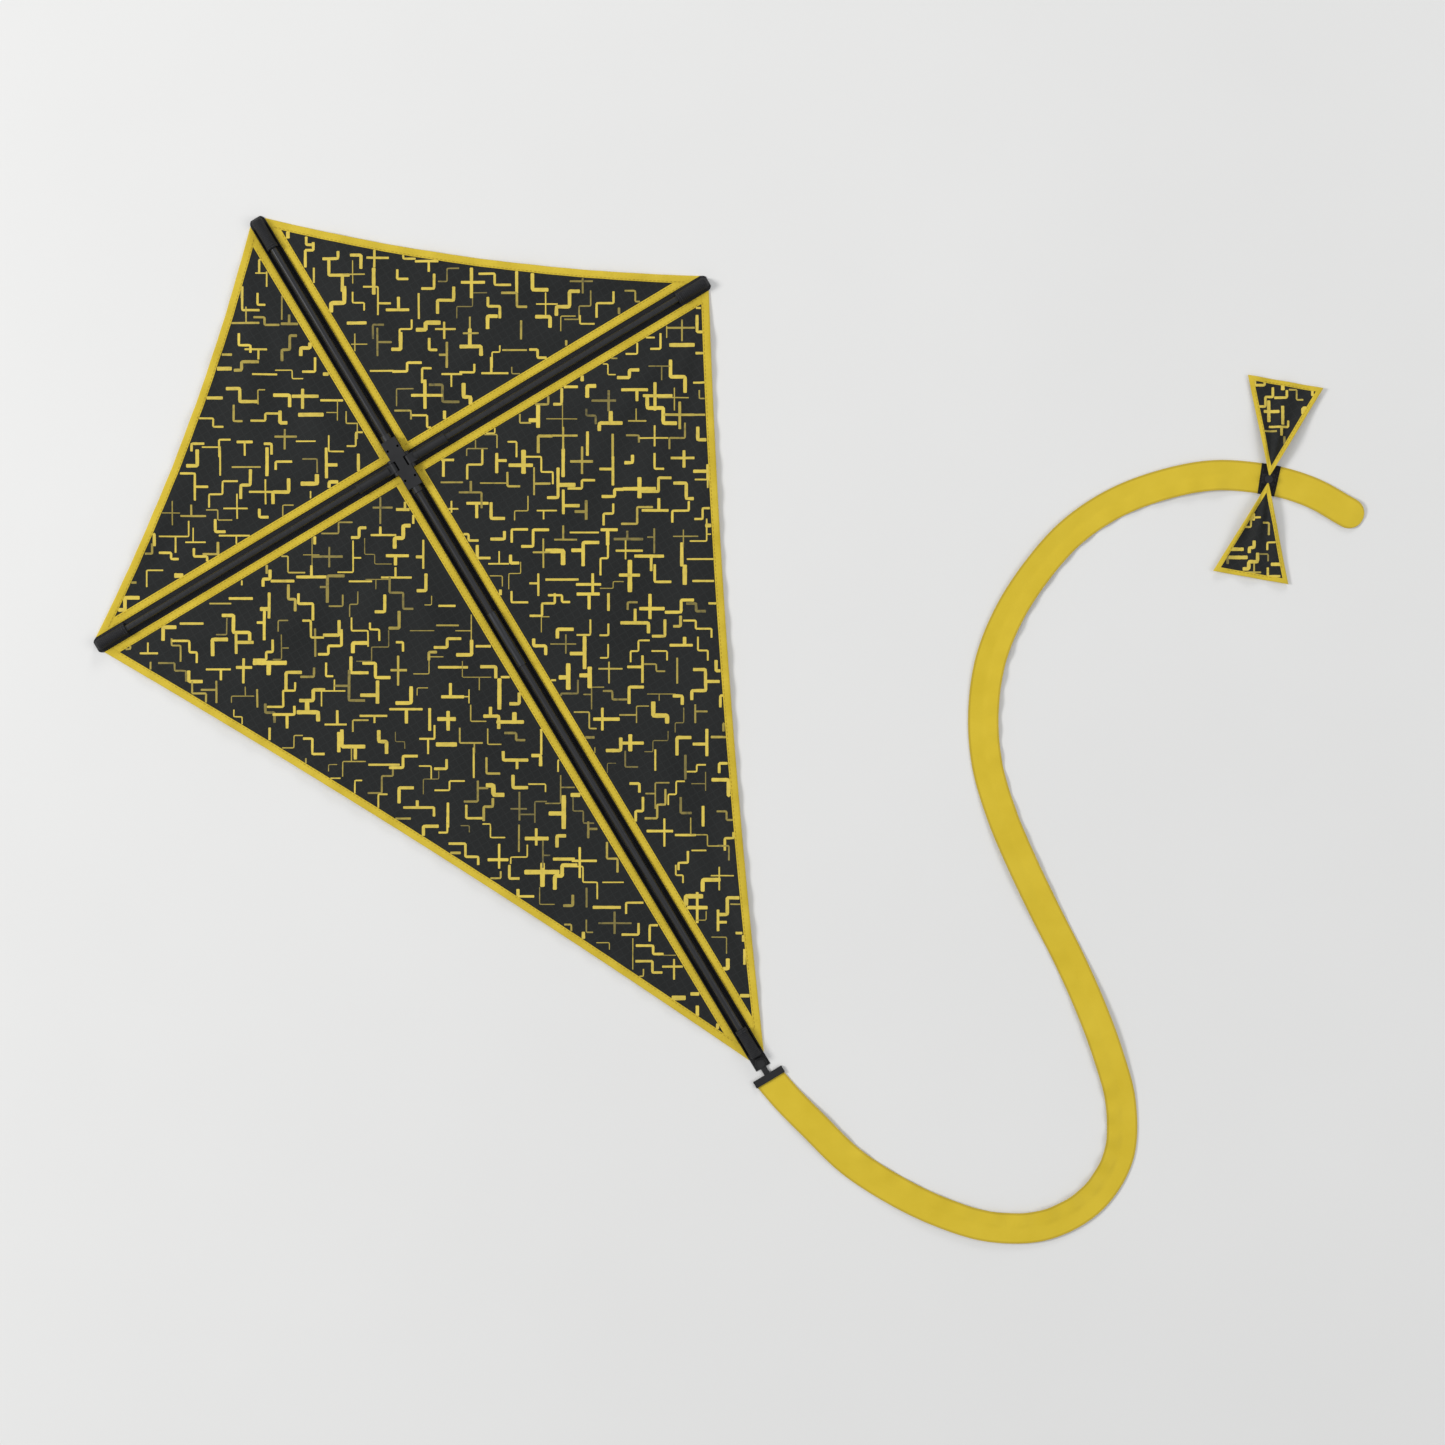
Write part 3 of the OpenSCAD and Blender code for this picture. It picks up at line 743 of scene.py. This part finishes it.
def make_sail():
    rng = random.Random(SAIL_SEED)
    figures = draw_figures(rng, SAIL_REACH, PRINT_PITCH, SAIL_STROKES)
    for side_name, side in SIDES.items():
        for half, up in HALVES.items():
            name = f"{side_name}_{half}"
            panel = make_panel(name, side, up)
            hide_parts(name + "_panel")
            trim = make_tapes(side_name, side, half, up)
            place = lambda x, y, z: on_sail(side, side * x, y, z)
            trim.append(make_prints(figures, rng, name + "_print", inside_panel(side, up), place,
                                    STRIP_TOP - PRINT_H, CLOTH_TOP + PRINT_H, side_name + "_wing"))


make_sail()


# ---- webbing, and the cloth that crosses the hinge lines ----

SPINE_END = 4 * MM   # the spine's webbing runs on past the tail post by this much


def spine_plan(a, t):
    return a - STRIP_HALF + 0 * t, POST_Y - SPINE_END + (NOSE_Y - POST_Y + SPINE_END) * t


def cross_plan(a, t):
    """The middle runs out to the wing's tip, and the laps under the panels to their bindings."""
    y = a - CHANNEL - LAP
    lap_end = np.where(y > 0, edge_x(1, TAPE_W, y), edge_x(-1, TAPE_W, y))
    end = np.where(np.abs(y) > CHANNEL, lap_end, TIP_X)
    return CHANNEL + (end - CHANNEL) * t, y + 0 * t


def make_strip(name, node, body, plan, place, width, length, section=FLAT_SECTION):
    """A strip of webbing that stands for a CAD node."""
    strip = sew_strip(plan, place, 0, STRIP_TOP, width, length, section)
    piece = make_piece(name, *strip, WEBBING, body, "black_webbing", fuse=False)
    rows = len(strip[0]) // len(section)
    set_along(piece, [share * width for share, _ in section], np.linspace(0, length, rows))
    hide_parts(node)


def make_webbings():
    """The webbing under the rods, which joins the panels, and the cloth at the hinge lines."""
    make_strip("spine_webbing", "centre_strip", "root", spine_plan, flat, 2 * STRIP_HALF,
               NOSE_Y - POST_Y)
    width = 2 * (CHANNEL + LAP)
    shares = [0, LAP / width, (LAP + 0.01 * MM) / width]
    shares += [0.5] + [1 - share for share in reversed(shares)]
    section = [(share, 1) for share in shares] + [(share, 0) for share in reversed(shares)]
    for side_name, side in SIDES.items():
        place = lambda x, y, z: flat(side * x, y, z)
        make_strip(side_name + "_cross_webbing", side_name + "_cross_strip", side_name + "_wing",
                   cross_plan, place, width, TIP_X - CHANNEL, section)
        make_gussets(side_name, side)


# A gusset's section from the spine outward, with a thin pleat that stands: x in mm, the share of
# the pleat's height, which way the two faces lean, and how much it still lies on the centre strip
GUSSET = np.array([
    (5.0, 0, 0, 1), (5.6, 0, 0, 1), (5.9, 0.35, -1, 1), (6.05, 0.8, -1, 1), (6.2, 1, 0, 1),
    (6.35, 0.8, 1, 1), (6.55, 0.35, 1, 1), (6.85, 0, 0, 0.7), (7.15, 0, 0, 0.2), (7.7, 0, 0, 0),
    (9.0, 0, 0, 0),
])
GUSSET_BEND = 5.6 * MM, 7.2 * MM   # two places across the hinge line; the gussets work them out but do not use them
GUSSET_HALF = 0.08 * MM            # half its thickness
GUSSET_SHORT = 4 * MM              # it stops this far before the sail's ends
PLEAT, PLEAT_MORE = 0.9 * MM, 1.5 * MM       # its height beside the hub, and how much it grows
PLEAT_START, PLEAT_RUN = 22 * MM, 12 * MM    # where it starts to grow, and over what length


def make_gussets(side_name, side):
    """Black cloth along the hinge line, pleated so that the wing can fold up."""
    stretches = {"nose": (CHANNEL + LAP, NOSE_Y - GUSSET_SHORT), "middle": (-CHANNEL, CHANNEL),
                 "tail": (TAIL_Y + GUSSET_SHORT, -CHANNEL - LAP)}
    x, rise, lean, on_strip = GUSSET.T[:, None, :]
    x = x * MM
    high = STRIP_TOP + 0.1 * MM
    for stretch, (start, end) in stretches.items():
        under = high if stretch == "middle" else STRIP_TOP - 0.2 * MM
        y = np.linspace(start, end, max(4, int((end - start) / (4 * MM))))[:, None]
        tall = PLEAT + PLEAT_MORE * smoothstep((np.abs(y) - PLEAT_START) / PLEAT_RUN)
        tall = tall * (1 + 0.12 * np.sin(y / (9 * MM)) + 0.08 * np.sin(y / (3.7 * MM)))
        z = under + (high - under) * on_strip + tall * rise
        across = GUSSET_HALF * lean
        cloth = slab(flat(side * (x + across), y, z + GUSSET_HALF),
                     flat(side * (x - across), y, z - GUSSET_HALF))
        gusset = make_piece(f"{side_name}_{stretch}_gusset", *cloth, WEBBING, None, "black_webbing",
                            fuse=False)
        set_along(gusset, x[0] + np.cumsum(np.abs(np.gradient(rise[0]))) * MM, y[:, 0])
        bend_start, bend_end = [(side * bend, 0, 0) for bend in GUSSET_BEND]
        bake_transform(gusset)
        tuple(bend_start)
        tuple(bend_end)


make_webbings()


# ---- pockets over the rods' ends ----

HEM = 3.6 * MM                       # the folded mouth, a little prouder than the rest
HEM_PROUD = 0.09
TUCK, BLUNT = 3.6 * MM, 0.5 * MM     # the tail's end is blunt, to clear the swivel beside it
FLANGE_SEW = 6 * MM                  # from a pocket's middle to the stitches on its flanges
FLANGE_TOP = STRIP_TOP + 0.6 * MM
# Along the tucked end: how far along it is, and how much of the pocket's height is left
TUCKED = [(0.1, 0.97), (0.3, 0.84), (0.55, 0.58), (0.78, 0.3), (0.92, 0.12), (1, 0.04)]
CAP_GAP = 0.06 * MM
CAP_R, TIP_CAP_R = [(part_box(cap)[1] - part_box(cap)[0])[axis] / 2 + CAP_GAP
                    for cap, axis in (("nose_cap", 0), ("right_tip_cap", 1))]


def pocket_outline(dome):
    """A pocket's section: from one flange over the rod, in an arc of radius dome, to the other."""
    right = [(STRIP_HALF, STRIP_TOP), (STRIP_HALF, STRIP_TOP + 0.5 * MM),
             (5.5 * MM, STRIP_TOP + 0.62 * MM), (dome + 0.45 * MM, STRIP_TOP + 1.1 * MM),
             (dome + 0.1 * MM, ROD_Z - 1.6 * MM)]
    arc = [math.radians(a) for a in range(0, 181, 15)]
    over = [(dome * math.cos(a), ROD_Z + dome * math.sin(a)) for a in arc]
    return np.array(right + over + [(-x, z) for x, z in reversed(right)])


def make_pocket(node, body, end, heading, hole, tuck):
    """A webbing pocket over a rod's cap. It opens against heading, and its far end is tucked down
    past the sail by tuck. It is sewn down by two flanges."""
    name = node + "_cloth"
    dome = hole + 0.5 * MM
    outline = pocket_outline(dome)
    middle = np.array([0, ROD_Z])
    rays = outline - middle
    inner = middle + rays / np.linalg.norm(rays, axis=1)[:, None] * hole
    hem = middle + rays * (1 + HEM_PROUD * smoothstep((outline[:, 1:] - 1.1 * MM) / (1.5 * MM)))
    heading, end = np.array(heading), np.array(end)
    side = np.array([-heading[1], heading[0]])

    def ring(points, back, squeeze=1.0, drop=0.0):
        """The section that far back from the end, squeezed down to a share of its height."""
        z = points[:, 1]
        z = np.where(z > FLANGE_TOP, FLANGE_TOP + (z - FLANGE_TOP) * squeeze, z) - drop
        narrow = 0.55 + 0.45 * squeeze ** 0.5
        return np.column_stack([end - heading * back + side * points[:, :1] * narrow, z])

    stations = [(inner, POCKET_LEN - 5 * MM), (inner, POCKET_LEN - 0.2 * MM),
                (inner * 0.3 + hem * 0.7, POCKET_LEN), (hem, POCKET_LEN - 0.3 * MM),
                (hem, POCKET_LEN - HEM + 0.15 * MM), (outline, POCKET_LEN - HEM - 0.1 * MM)]
    stations += [(outline, back) for back in np.linspace(POCKET_LEN - HEM - 2 * MM, 0.4 * MM, 8)]
    backs = [back for _, back in stations]
    rings = [ring(points, back) for points, back in stations]
    drop = STRIP_TOP - 0.05 * MM if tuck > MM else 0
    for share, squeeze in TUCKED:
        rings.append(ring(outline, -tuck * share, squeeze, drop * smoothstep(share * 2)))
        backs.append(-tuck * share - 1.6 * dome * (1 - squeeze))
    piece = make_piece(name, *skin(np.array(rings)), WEBBING, body, "black_webbing", fuse=False)
    set_along(piece, walk(outline), backs)
    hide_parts(node)

    def over_dome(x, y, z):
        """Points x along the hem's outline from its top, y back from the end and z out from it."""
        angle = math.pi / 2 - x / dome
        out = dome * (1 + HEM_PROUD) + z
        plan = end - heading * y[:, None] + side * (out * np.cos(angle))[:, None]
        return np.column_stack([plan, ROD_Z + out * np.sin(angle)])

    stitches = []
    reach = dome * 1.4
    for back in (POCKET_LEN - 0.9 * MM, POCKET_LEN - HEM + 0.6 * MM):
        stitches += sew_row(straight((-reach, back), (reach, back)), over_dome, OVER_TAPE, 2 * reach)
    for offset in (-FLANGE_SEW, FLANGE_SEW):
        line = straight(*(end + side * offset - heading * back for back in (MM, POCKET_LEN - MM)))
        stitches += sew_row(line, flat, FLANGE_TOP, POCKET_LEN - 2 * MM)
    make_joined(name + "_stitches", stitches, DARK_THREAD, body, "black_webbing")


make_pocket("nose_pocket", "root", (0, NOSE_Y), (0, 1), CAP_R, TUCK)
make_pocket("tail_pocket", "root", (0, TAIL_Y), (0, -1), CAP_R, BLUNT)
for side_name, side in SIDES.items():
    make_pocket(side_name + "_tip_pocket", side_name + "_wing", (side * TIP_X, 0), (side, 0),
                TIP_CAP_R, TUCK)


# ---- moulded pieces with softened edges ----

def soften(node_name, body, width):
    """A moulded copy of a CAD node with its sharp edges rounded, which stands for the node."""
    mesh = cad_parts[node_name].data.copy()
    work = bmesh.new()
    work.from_mesh(mesh)
    bmesh.ops.remove_doubles(work, verts=work.verts, dist=1e-6)
    bmesh.ops.dissolve_limit(work, angle_limit=math.radians(1), verts=work.verts, edges=work.edges)
    work.to_mesh(mesh)
    work.free()
    piece = add_object(node_name + "_moulding", mesh)
    bevel = piece.modifiers.new("soft edges", "BEVEL")
    bevel.width = width
    bevel.segments = 3
    bevel.limit_method = "ANGLE"
    bevel.angle_limit = math.radians(40)
    piece.modifiers.new("flat faces stay flat", "WEIGHTED_NORMAL").weight = 90
    mesh.shade_smooth()
    bpy.context.view_layer.update()
    made = bpy.data.meshes.new_from_object(piece.evaluated_get(bpy.context.evaluated_depsgraph_get()))
    piece.modifiers.clear()
    piece.data = made
    made.materials.clear()
    made.materials.append(MOULDED)
    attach(piece, body)
    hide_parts(node_name)
    return piece


soften("hub", "root", 0.35 * MM)
CLIP = soften("tail_clip", "tail", 0.2 * MM)
CLAMP = soften("ribbon_clamp", "tail", 0.35 * MM)
for side_name in SIDES:
    soften(side_name + "_hinge_arm", side_name + "_wing", 0.3 * MM)


# ---- CAD nodes that keep their shape ----

KEPT = {
    ROD: ["spine_upper", "spine_lower", "right_cross_spar", "left_cross_spar"],
    VINYL: ["nose_cap", "tail_cap", "hub_stops", "right_tip_cap", "left_tip_cap"],
    FERRULE: ["spine_ferrule"],
    STEEL: ["hinge_pins"],
    MOULDED: ["tail_post", "bow_stud"],
}
for material, names in KEPT.items():
    for name in names:
        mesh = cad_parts[name].data
        mesh.materials.clear()
        mesh.materials.append(material)


# ---- the ribbon tail ----

def along_route(points, step):
    """Points a step apart on a smooth curve through the route, with headings and distances."""
    p = np.array(points, float)
    p[:, 1] += CLAMP_Y
    ahead = np.vstack([2 * p[:1] - p[1:2], p, 2 * p[-1:] - p[-2:-1]])
    fine = []
    for i in range(len(p) - 1):
        a, b, c, d = ahead[i:i + 4]
        for t in np.linspace(0, 1, 24, endpoint=False):
            fine.append(0.5 * (2 * b + (c - a) * t + (2 * a - 5 * b + 4 * c - d) * t ** 2
                               + (3 * b - a - 3 * c + d) * t ** 3))
    fine = np.array(fine + [p[-1]])
    walked = walk(fine)
    s = np.linspace(0, walked[-1], int(walked[-1] / step) + 1)
    line = look_up(s, walked, fine)
    heading = np.gradient(line, s, axis=0)
    heading[0] = (0, -1)
    heading /= np.linalg.norm(heading, axis=1)[:, None]
    return line, heading, s


LINE, HEADING, WALKED = along_route(ROUTE, 3 * MM)
BOW_S = WALKED[np.argmin(np.hypot(LINE[:, 0] - BOW_X, LINE[:, 1] - BOW_Y))]
RIPPLE = 24 * MM                  # length of a ripple where the ribbon bends
SWAY, TILT = 1.3 * MM, 0.9 * MM   # the most that all of it, and one edge of it, stand up
# It lies flat this far from the clamp and from the bow, and is free that much further on
CLAMP_FLAT, CLAMP_FREE = 10 * MM, 50 * MM
BOW_FLAT, BOW_FREE = 16 * MM, 30 * MM
RIBBON_LOW = 0.25 * MM
RIBBON_THICK = 0.7 * MM


def ribbon_height(s, bend, a):
    """How far the ribbon stands up at distance s and a across it: ripples on the inside of its
    bends, a slow sway, and a tilt to either side. It lies flat at the clamp and under the bow."""
    free = smoothstep((s - CLAMP_FLAT) / CLAMP_FREE)
    free = free * smoothstep((np.abs(s - BOW_S) - BOW_FLAT) / BOW_FREE)
    inside = np.clip(bend[:, None] * a, 0, None)
    phase = 2 * math.pi * s / RIPPLE + 0.8 * np.sin(s / 0.06)
    waves = (1 + np.sin(phase))[:, None] * RIPPLE / math.pi * np.sqrt(inside) / 4
    sway = SWAY * (1 + np.sin(s / 0.031 + 0.9 * np.sin(s / 0.083))) / 2
    tilt = TILT * np.sin(s / 0.047 + 1.0)[:, None] * a / (RIBBON_W / 2)
    return (waves + sway[:, None] + np.abs(tilt) / 2 + tilt / 2) * free[:, None]


def make_ribbon_tail():
    line, heading, s = LINE, HEADING, WALKED
    side = left_of(heading)
    bend = np.gradient(np.unwrap(np.arctan2(heading[:, 1], heading[:, 0])), s)
    bend = np.convolve(np.pad(bend, 7, mode="edge"), np.ones(15) / 15, mode="valid")
    radius = RIBBON_W / 2      # the free end is cut round
    a = np.linspace(-1, 1, 15) * radius
    height = ribbon_height(s, bend, a)
    plan = line[:, None] + side[:, None] * a[:, None]
    # more rows sweep out the half disc
    turns = np.linspace(0, 1, 8)[1:, None] * math.pi / 2
    ends = line[-1] + heading[-1] * radius * np.sin(turns)
    end_plan = ends[:, None] + side[-1] * (a * np.cos(turns))[:, :, None]
    x, y = np.moveaxis(np.concatenate([plan, end_plan]), -1, 0)
    z = np.concatenate([height, height[-1:] * np.cos(turns)]) + RIBBON_LOW
    cloth = slab(flat(x, y, z + RIBBON_THICK), flat(x, y, z))
    piece = make_piece("ribbon_cloth", *cloth, RIBBON, "tail", "ribbon", fuse=False)
    set_along(piece, a, np.concatenate([s, s[-1] + radius * np.sin(turns[:, 0])]))
    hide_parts("tail_ribbon")
    middle = [(px, py, RIBBON_LOW + RIBBON_THICK / 2) for px, py in line]
    return piece, middle, s[-1]


RIBBON_PIECE, RIBBON_PATH, RIBBON_LENGTH = make_ribbon_tail()

SLEEVE_LEN, SLEEVE_T, SLEEVE_GAP = 15 * MM, 0.18 * MM, 0.04 * MM
SLEEVE_SEW = RIBBON_W * 0.47   # how far its stitches reach from the middle


def make_sleeve():
    """A short sleeve of black cloth sewn round the ribbon, under the bow."""
    walked = BOW_S + np.linspace(-0.5, 0.5, 9) * SLEEVE_LEN
    centre = look_up(walked, WALKED, LINE)
    side = left_of(look_up(walked, WALKED, HEADING))
    turns = np.radians(np.concatenate([np.linspace(-90, 90, 9), np.linspace(90, 270, 9)]))
    flank = np.repeat([1, -1], 9) * RIBBON_W / 2

    def loop(k, gap):
        tall = RIBBON_THICK / 2 + gap
        across = flank + gap * np.cos(turns)
        height = RIBBON_LOW + RIBBON_THICK / 2 + tall * np.sin(turns)
        return np.column_stack([centre[k] + side[k] * across[:, None], height])

    count = range(len(walked))
    rings = [loop(k, SLEEVE_GAP + SLEEVE_T) for k in count]
    rings += [loop(k, SLEEVE_GAP) for k in reversed(count)]
    tube = skin(np.array(rings + rings[:1]), close_ends=False)
    sleeve = make_piece("ribbon_sleeve", *tube, KNOT_CLOTH, "tail", "black_webbing")

    top = RIBBON_LOW + RIBBON_THICK + SLEEVE_GAP + SLEEVE_T
    stitches = []
    for k in (1, -2):
        line = straight(*(centre[k] + side[k] * reach for reach in (-SLEEVE_SEW, SLEEVE_SEW)))
        stitches += sew_row(line, flat, top, 2 * SLEEVE_SEW)
    return [sleeve, make_joined("ribbon_sleeve_stitches", stitches, DARK_THREAD, "tail",
                                "black_webbing")]


SLEEVE_PIECES = make_sleeve()


# ---- the bow ----

BOW_SLOPE = BOW_W / 2 / BOW_LEN
BOW_T = 0.36 * MM                # the cloth's thickness
EDGING_TOP = 0.42 * MM           # above the middle of the cloth
BOW_LOW, BOW_RISE = 1.1 * MM, 4.2 * MM   # its height at the outer edge, and the rise to the knot
BOW_GATHER = 3.2 * MM            # the height of its pleats


def bow_height(x, y):
    """Height of the bow's cloth. x is measured from the knot along a half, and y across it."""
    u = x / BOW_LEN
    v = y / np.maximum(x * BOW_SLOPE, 1e-6)
    rise = BOW_RISE * smoothstep(1 - (u - 0.06) / 0.75)
    gather = BOW_GATHER * smoothstep(u / 0.5) * (1 - 0.4 * smoothstep((u - 0.4) / 0.6))
    folds = (1 + np.cos(2.4 * math.pi * v + 0.5)) / 2
    return BOW_LOW + rise + gather * folds


def at_bow(x, y, z, turn=0):
    """Points given from the bow's middle, with x along the half at that turn."""
    cos, sin = math.cos(BOW_TURN + turn), math.sin(BOW_TURN + turn)
    return flat(BOW_X + x * cos - y * sin, BOW_Y + x * sin + y * cos, z)


def bow_corner(k, inset):
    """A corner of half a bow pulled in by inset on each side: at the knot (0), or an outer one."""
    point = inset * math.sqrt(1 + 1 / BOW_SLOPE ** 2)
    if k == 0:
        return np.maximum(point, 2 * MM), 0 * inset
    end = BOW_LEN - inset
    return end, (end - point) * BOW_SLOPE * (-1 if k == 1 else 1)


def bow_edge_plan(k):
    """A tape along one edge of half a bow, from corner k to the next."""
    def plan(a, t):
        (x, y), (next_x, next_y) = bow_corner(k, a), bow_corner((k + 1) % 3, a)
        return x + (next_x - x) * t, y + (next_y - y) * t
    return plan


def make_bow_half(name, turn, seed):
    place = lambda x, y, z: at_bow(x, y, z + bow_height(x, y), turn)
    x = np.linspace(2 * MM, BOW_LEN - 1 * MM, 40)[:, None]
    y = np.linspace(-1, 1, 37)[None, :] * (x * BOW_SLOPE - 0.8 * MM * (x > 6 * MM))
    panel = slab(place(x, y, BOW_T / 2), place(x, y, -BOW_T / 2))
    cloth = make_piece(name + "_cloth", *panel, SAIL, "bow", "sail_cloth")
    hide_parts(name)

    parts, stitches = [], []
    for k in range(3):
        plan = bow_edge_plan(k)
        length = math.dist(bow_corner(k, 0), bow_corner((k + 1) % 3, 0))
        parts.append(sew_strip(plan, place, -EDGING_TOP, EDGING_TOP, BOW_TAPE, length,
                               halved(FOLD_SECTION), 2 * MM))
        line = lambda t, plan=plan: plan(np.full_like(t, BOW_TAPE - 1 * MM), 0.12 + 0.76 * t)
        stitches += sew_row(line, place, EDGING_TOP + OVER_TAPE, length * 0.7)
    edging = make_piece(name + "_edging_cloth", *joined(parts), TAPE, "bow", "yellow_tape", fuse=False)
    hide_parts(name + "_edging")
    thread = make_joined(name + "_stitching", stitches, THREAD, "bow", "yellow_tape")

    inset = BOW_TAPE - 0.5 * MM
    knot_x, outer_x = bow_corner(0, inset)[0], bow_corner(1, inset)[0]

    def inside(p):
        return BOW_LEN * 0.36 < p[0] < outer_x and abs(p[1]) < (p[0] - knot_x) * BOW_SLOPE

    rng = random.Random(seed)
    cos, sin = math.cos(BOW_TURN + turn), math.sin(BOW_TURN + turn)
    figures = [(line @ [[cos, -sin], [sin, cos]], width, fade)
               for line, width, fade in draw_figures(rng, BOW_REACH, BOW_PITCH, BOW_STROKES)]
    top = BOW_T / 2 + BOW_PRINT_H
    prints = make_prints(figures, rng, name + "_print", inside, place, -top, top, "bow", 5, 1)
    return [cloth, edging, thread, prints]


# The knot's turns: how far along the bow each is, how it leans, and half its width
KNOT_TURNS = [(-2.9 * MM, 0.10, 5.2 * MM), (0, -0.05, 5.9 * MM), (2.9 * MM, -0.12, 5.2 * MM)]
KNOT_W, KNOT_T = 1.75 * MM, 0.55 * MM   # half the width and half the thickness of a turn


def make_knot():
    """Turns of black cloth round the bow's middle."""
    low, high = RIBBON_T + 0.3 * MM, STUD_TOP - 1.15 * MM
    roll = 2 * math.pi * np.arange(8) / 8
    parts = []
    for offset, lean, half in KNOT_TURNS:
        rings = []
        for angle in (2 * math.pi * k / 32 for k in range(32)):
            cos, sin = math.cos(angle), math.sin(angle)
            y = half * math.copysign(abs(cos) ** 0.75, cos)
            z = (low + high) / 2 + (high - low) / 2 * math.copysign(abs(sin) ** 0.75, sin)
            out = KNOT_T * (np.sin(roll) - 1)
            x = offset + lean * y + KNOT_W * np.cos(roll)
            rings.append(at_bow(x, y * (1 + out / half), z + out * sin))
        parts.append(skin(np.array(rings + rings[:1]), close_ends=False))
    piece = make_piece("knot_turns", *joined(parts), KNOT_CLOTH, "bow", "black_webbing")
    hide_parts("bow_knot")
    return piece


BOW_PIECES = [*make_bow_half("bow_upper", 0, BOW_SEEDS[0]),
              *make_bow_half("bow_lower", math.pi, BOW_SEEDS[1]), make_knot()]
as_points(RIBBON_PATH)


# ---- floor and lights ----

FLOOR_HALF = 6.0
FLOOR_DROP = 0.15 * MM   # the floor is this far below the kite


def make_stage():
    look = Look("pale_floor", (0.80, 0.79, 0.77), 0.6)
    grain = look.noise(look.place(), 3.0, 5.0)
    material = look.finish(look.blend(grain, (0.775, 0.765, 0.745), (0.82, 0.81, 0.79)))
    mesh = bpy.data.meshes.new("floor")
    corners = [(-1, -1), (1, -1), (1, 1), (-1, 1)]
    mesh.from_pydata([(x * FLOOR_HALF, y * FLOOR_HALF, 0) for x, y in corners], [], [(0, 1, 2, 3)])
    mesh.materials.append(material)
    floor = add_object("floor", mesh)
    floor.location.z = -FLOOR_DROP


# Each soft light: where it is, how wide and how strong
LIGHTS = {"key": ((-3.0, 2.2, 3.0), 1.5, 150), "fill": ((3.4, -2.8, 3.4), 3.0, 60),
          "rim": ((2.6, 2.4, 1.6), 1.2, 30)}
SKY, SKY_STRENGTH = (0.93, 0.96, 1.0), 0.45


def make_lights():
    world = bpy.data.worlds.new("studio")
    world.use_nodes = True
    background = world.node_tree.nodes["Background"]
    background.inputs["Color"].default_value = (*SKY, 1)
    background.inputs["Strength"].default_value = SKY_STRENGTH
    bpy.context.scene.world = world
    bpy.context.scene.view_settings.view_transform = "Standard"
    for name, (place, size, power) in LIGHTS.items():
        data = bpy.data.lights.new(name, "AREA")
        data.shape = "DISK"
        data.size = size
        data.energy = power
        lamp = add_object(name, data)
        lamp.location = place
        lamp.rotation_euler = (VIEW_CENTRE - lamp.location).to_track_quat("-Z", "Y").to_euler()


make_stage()
make_lights()
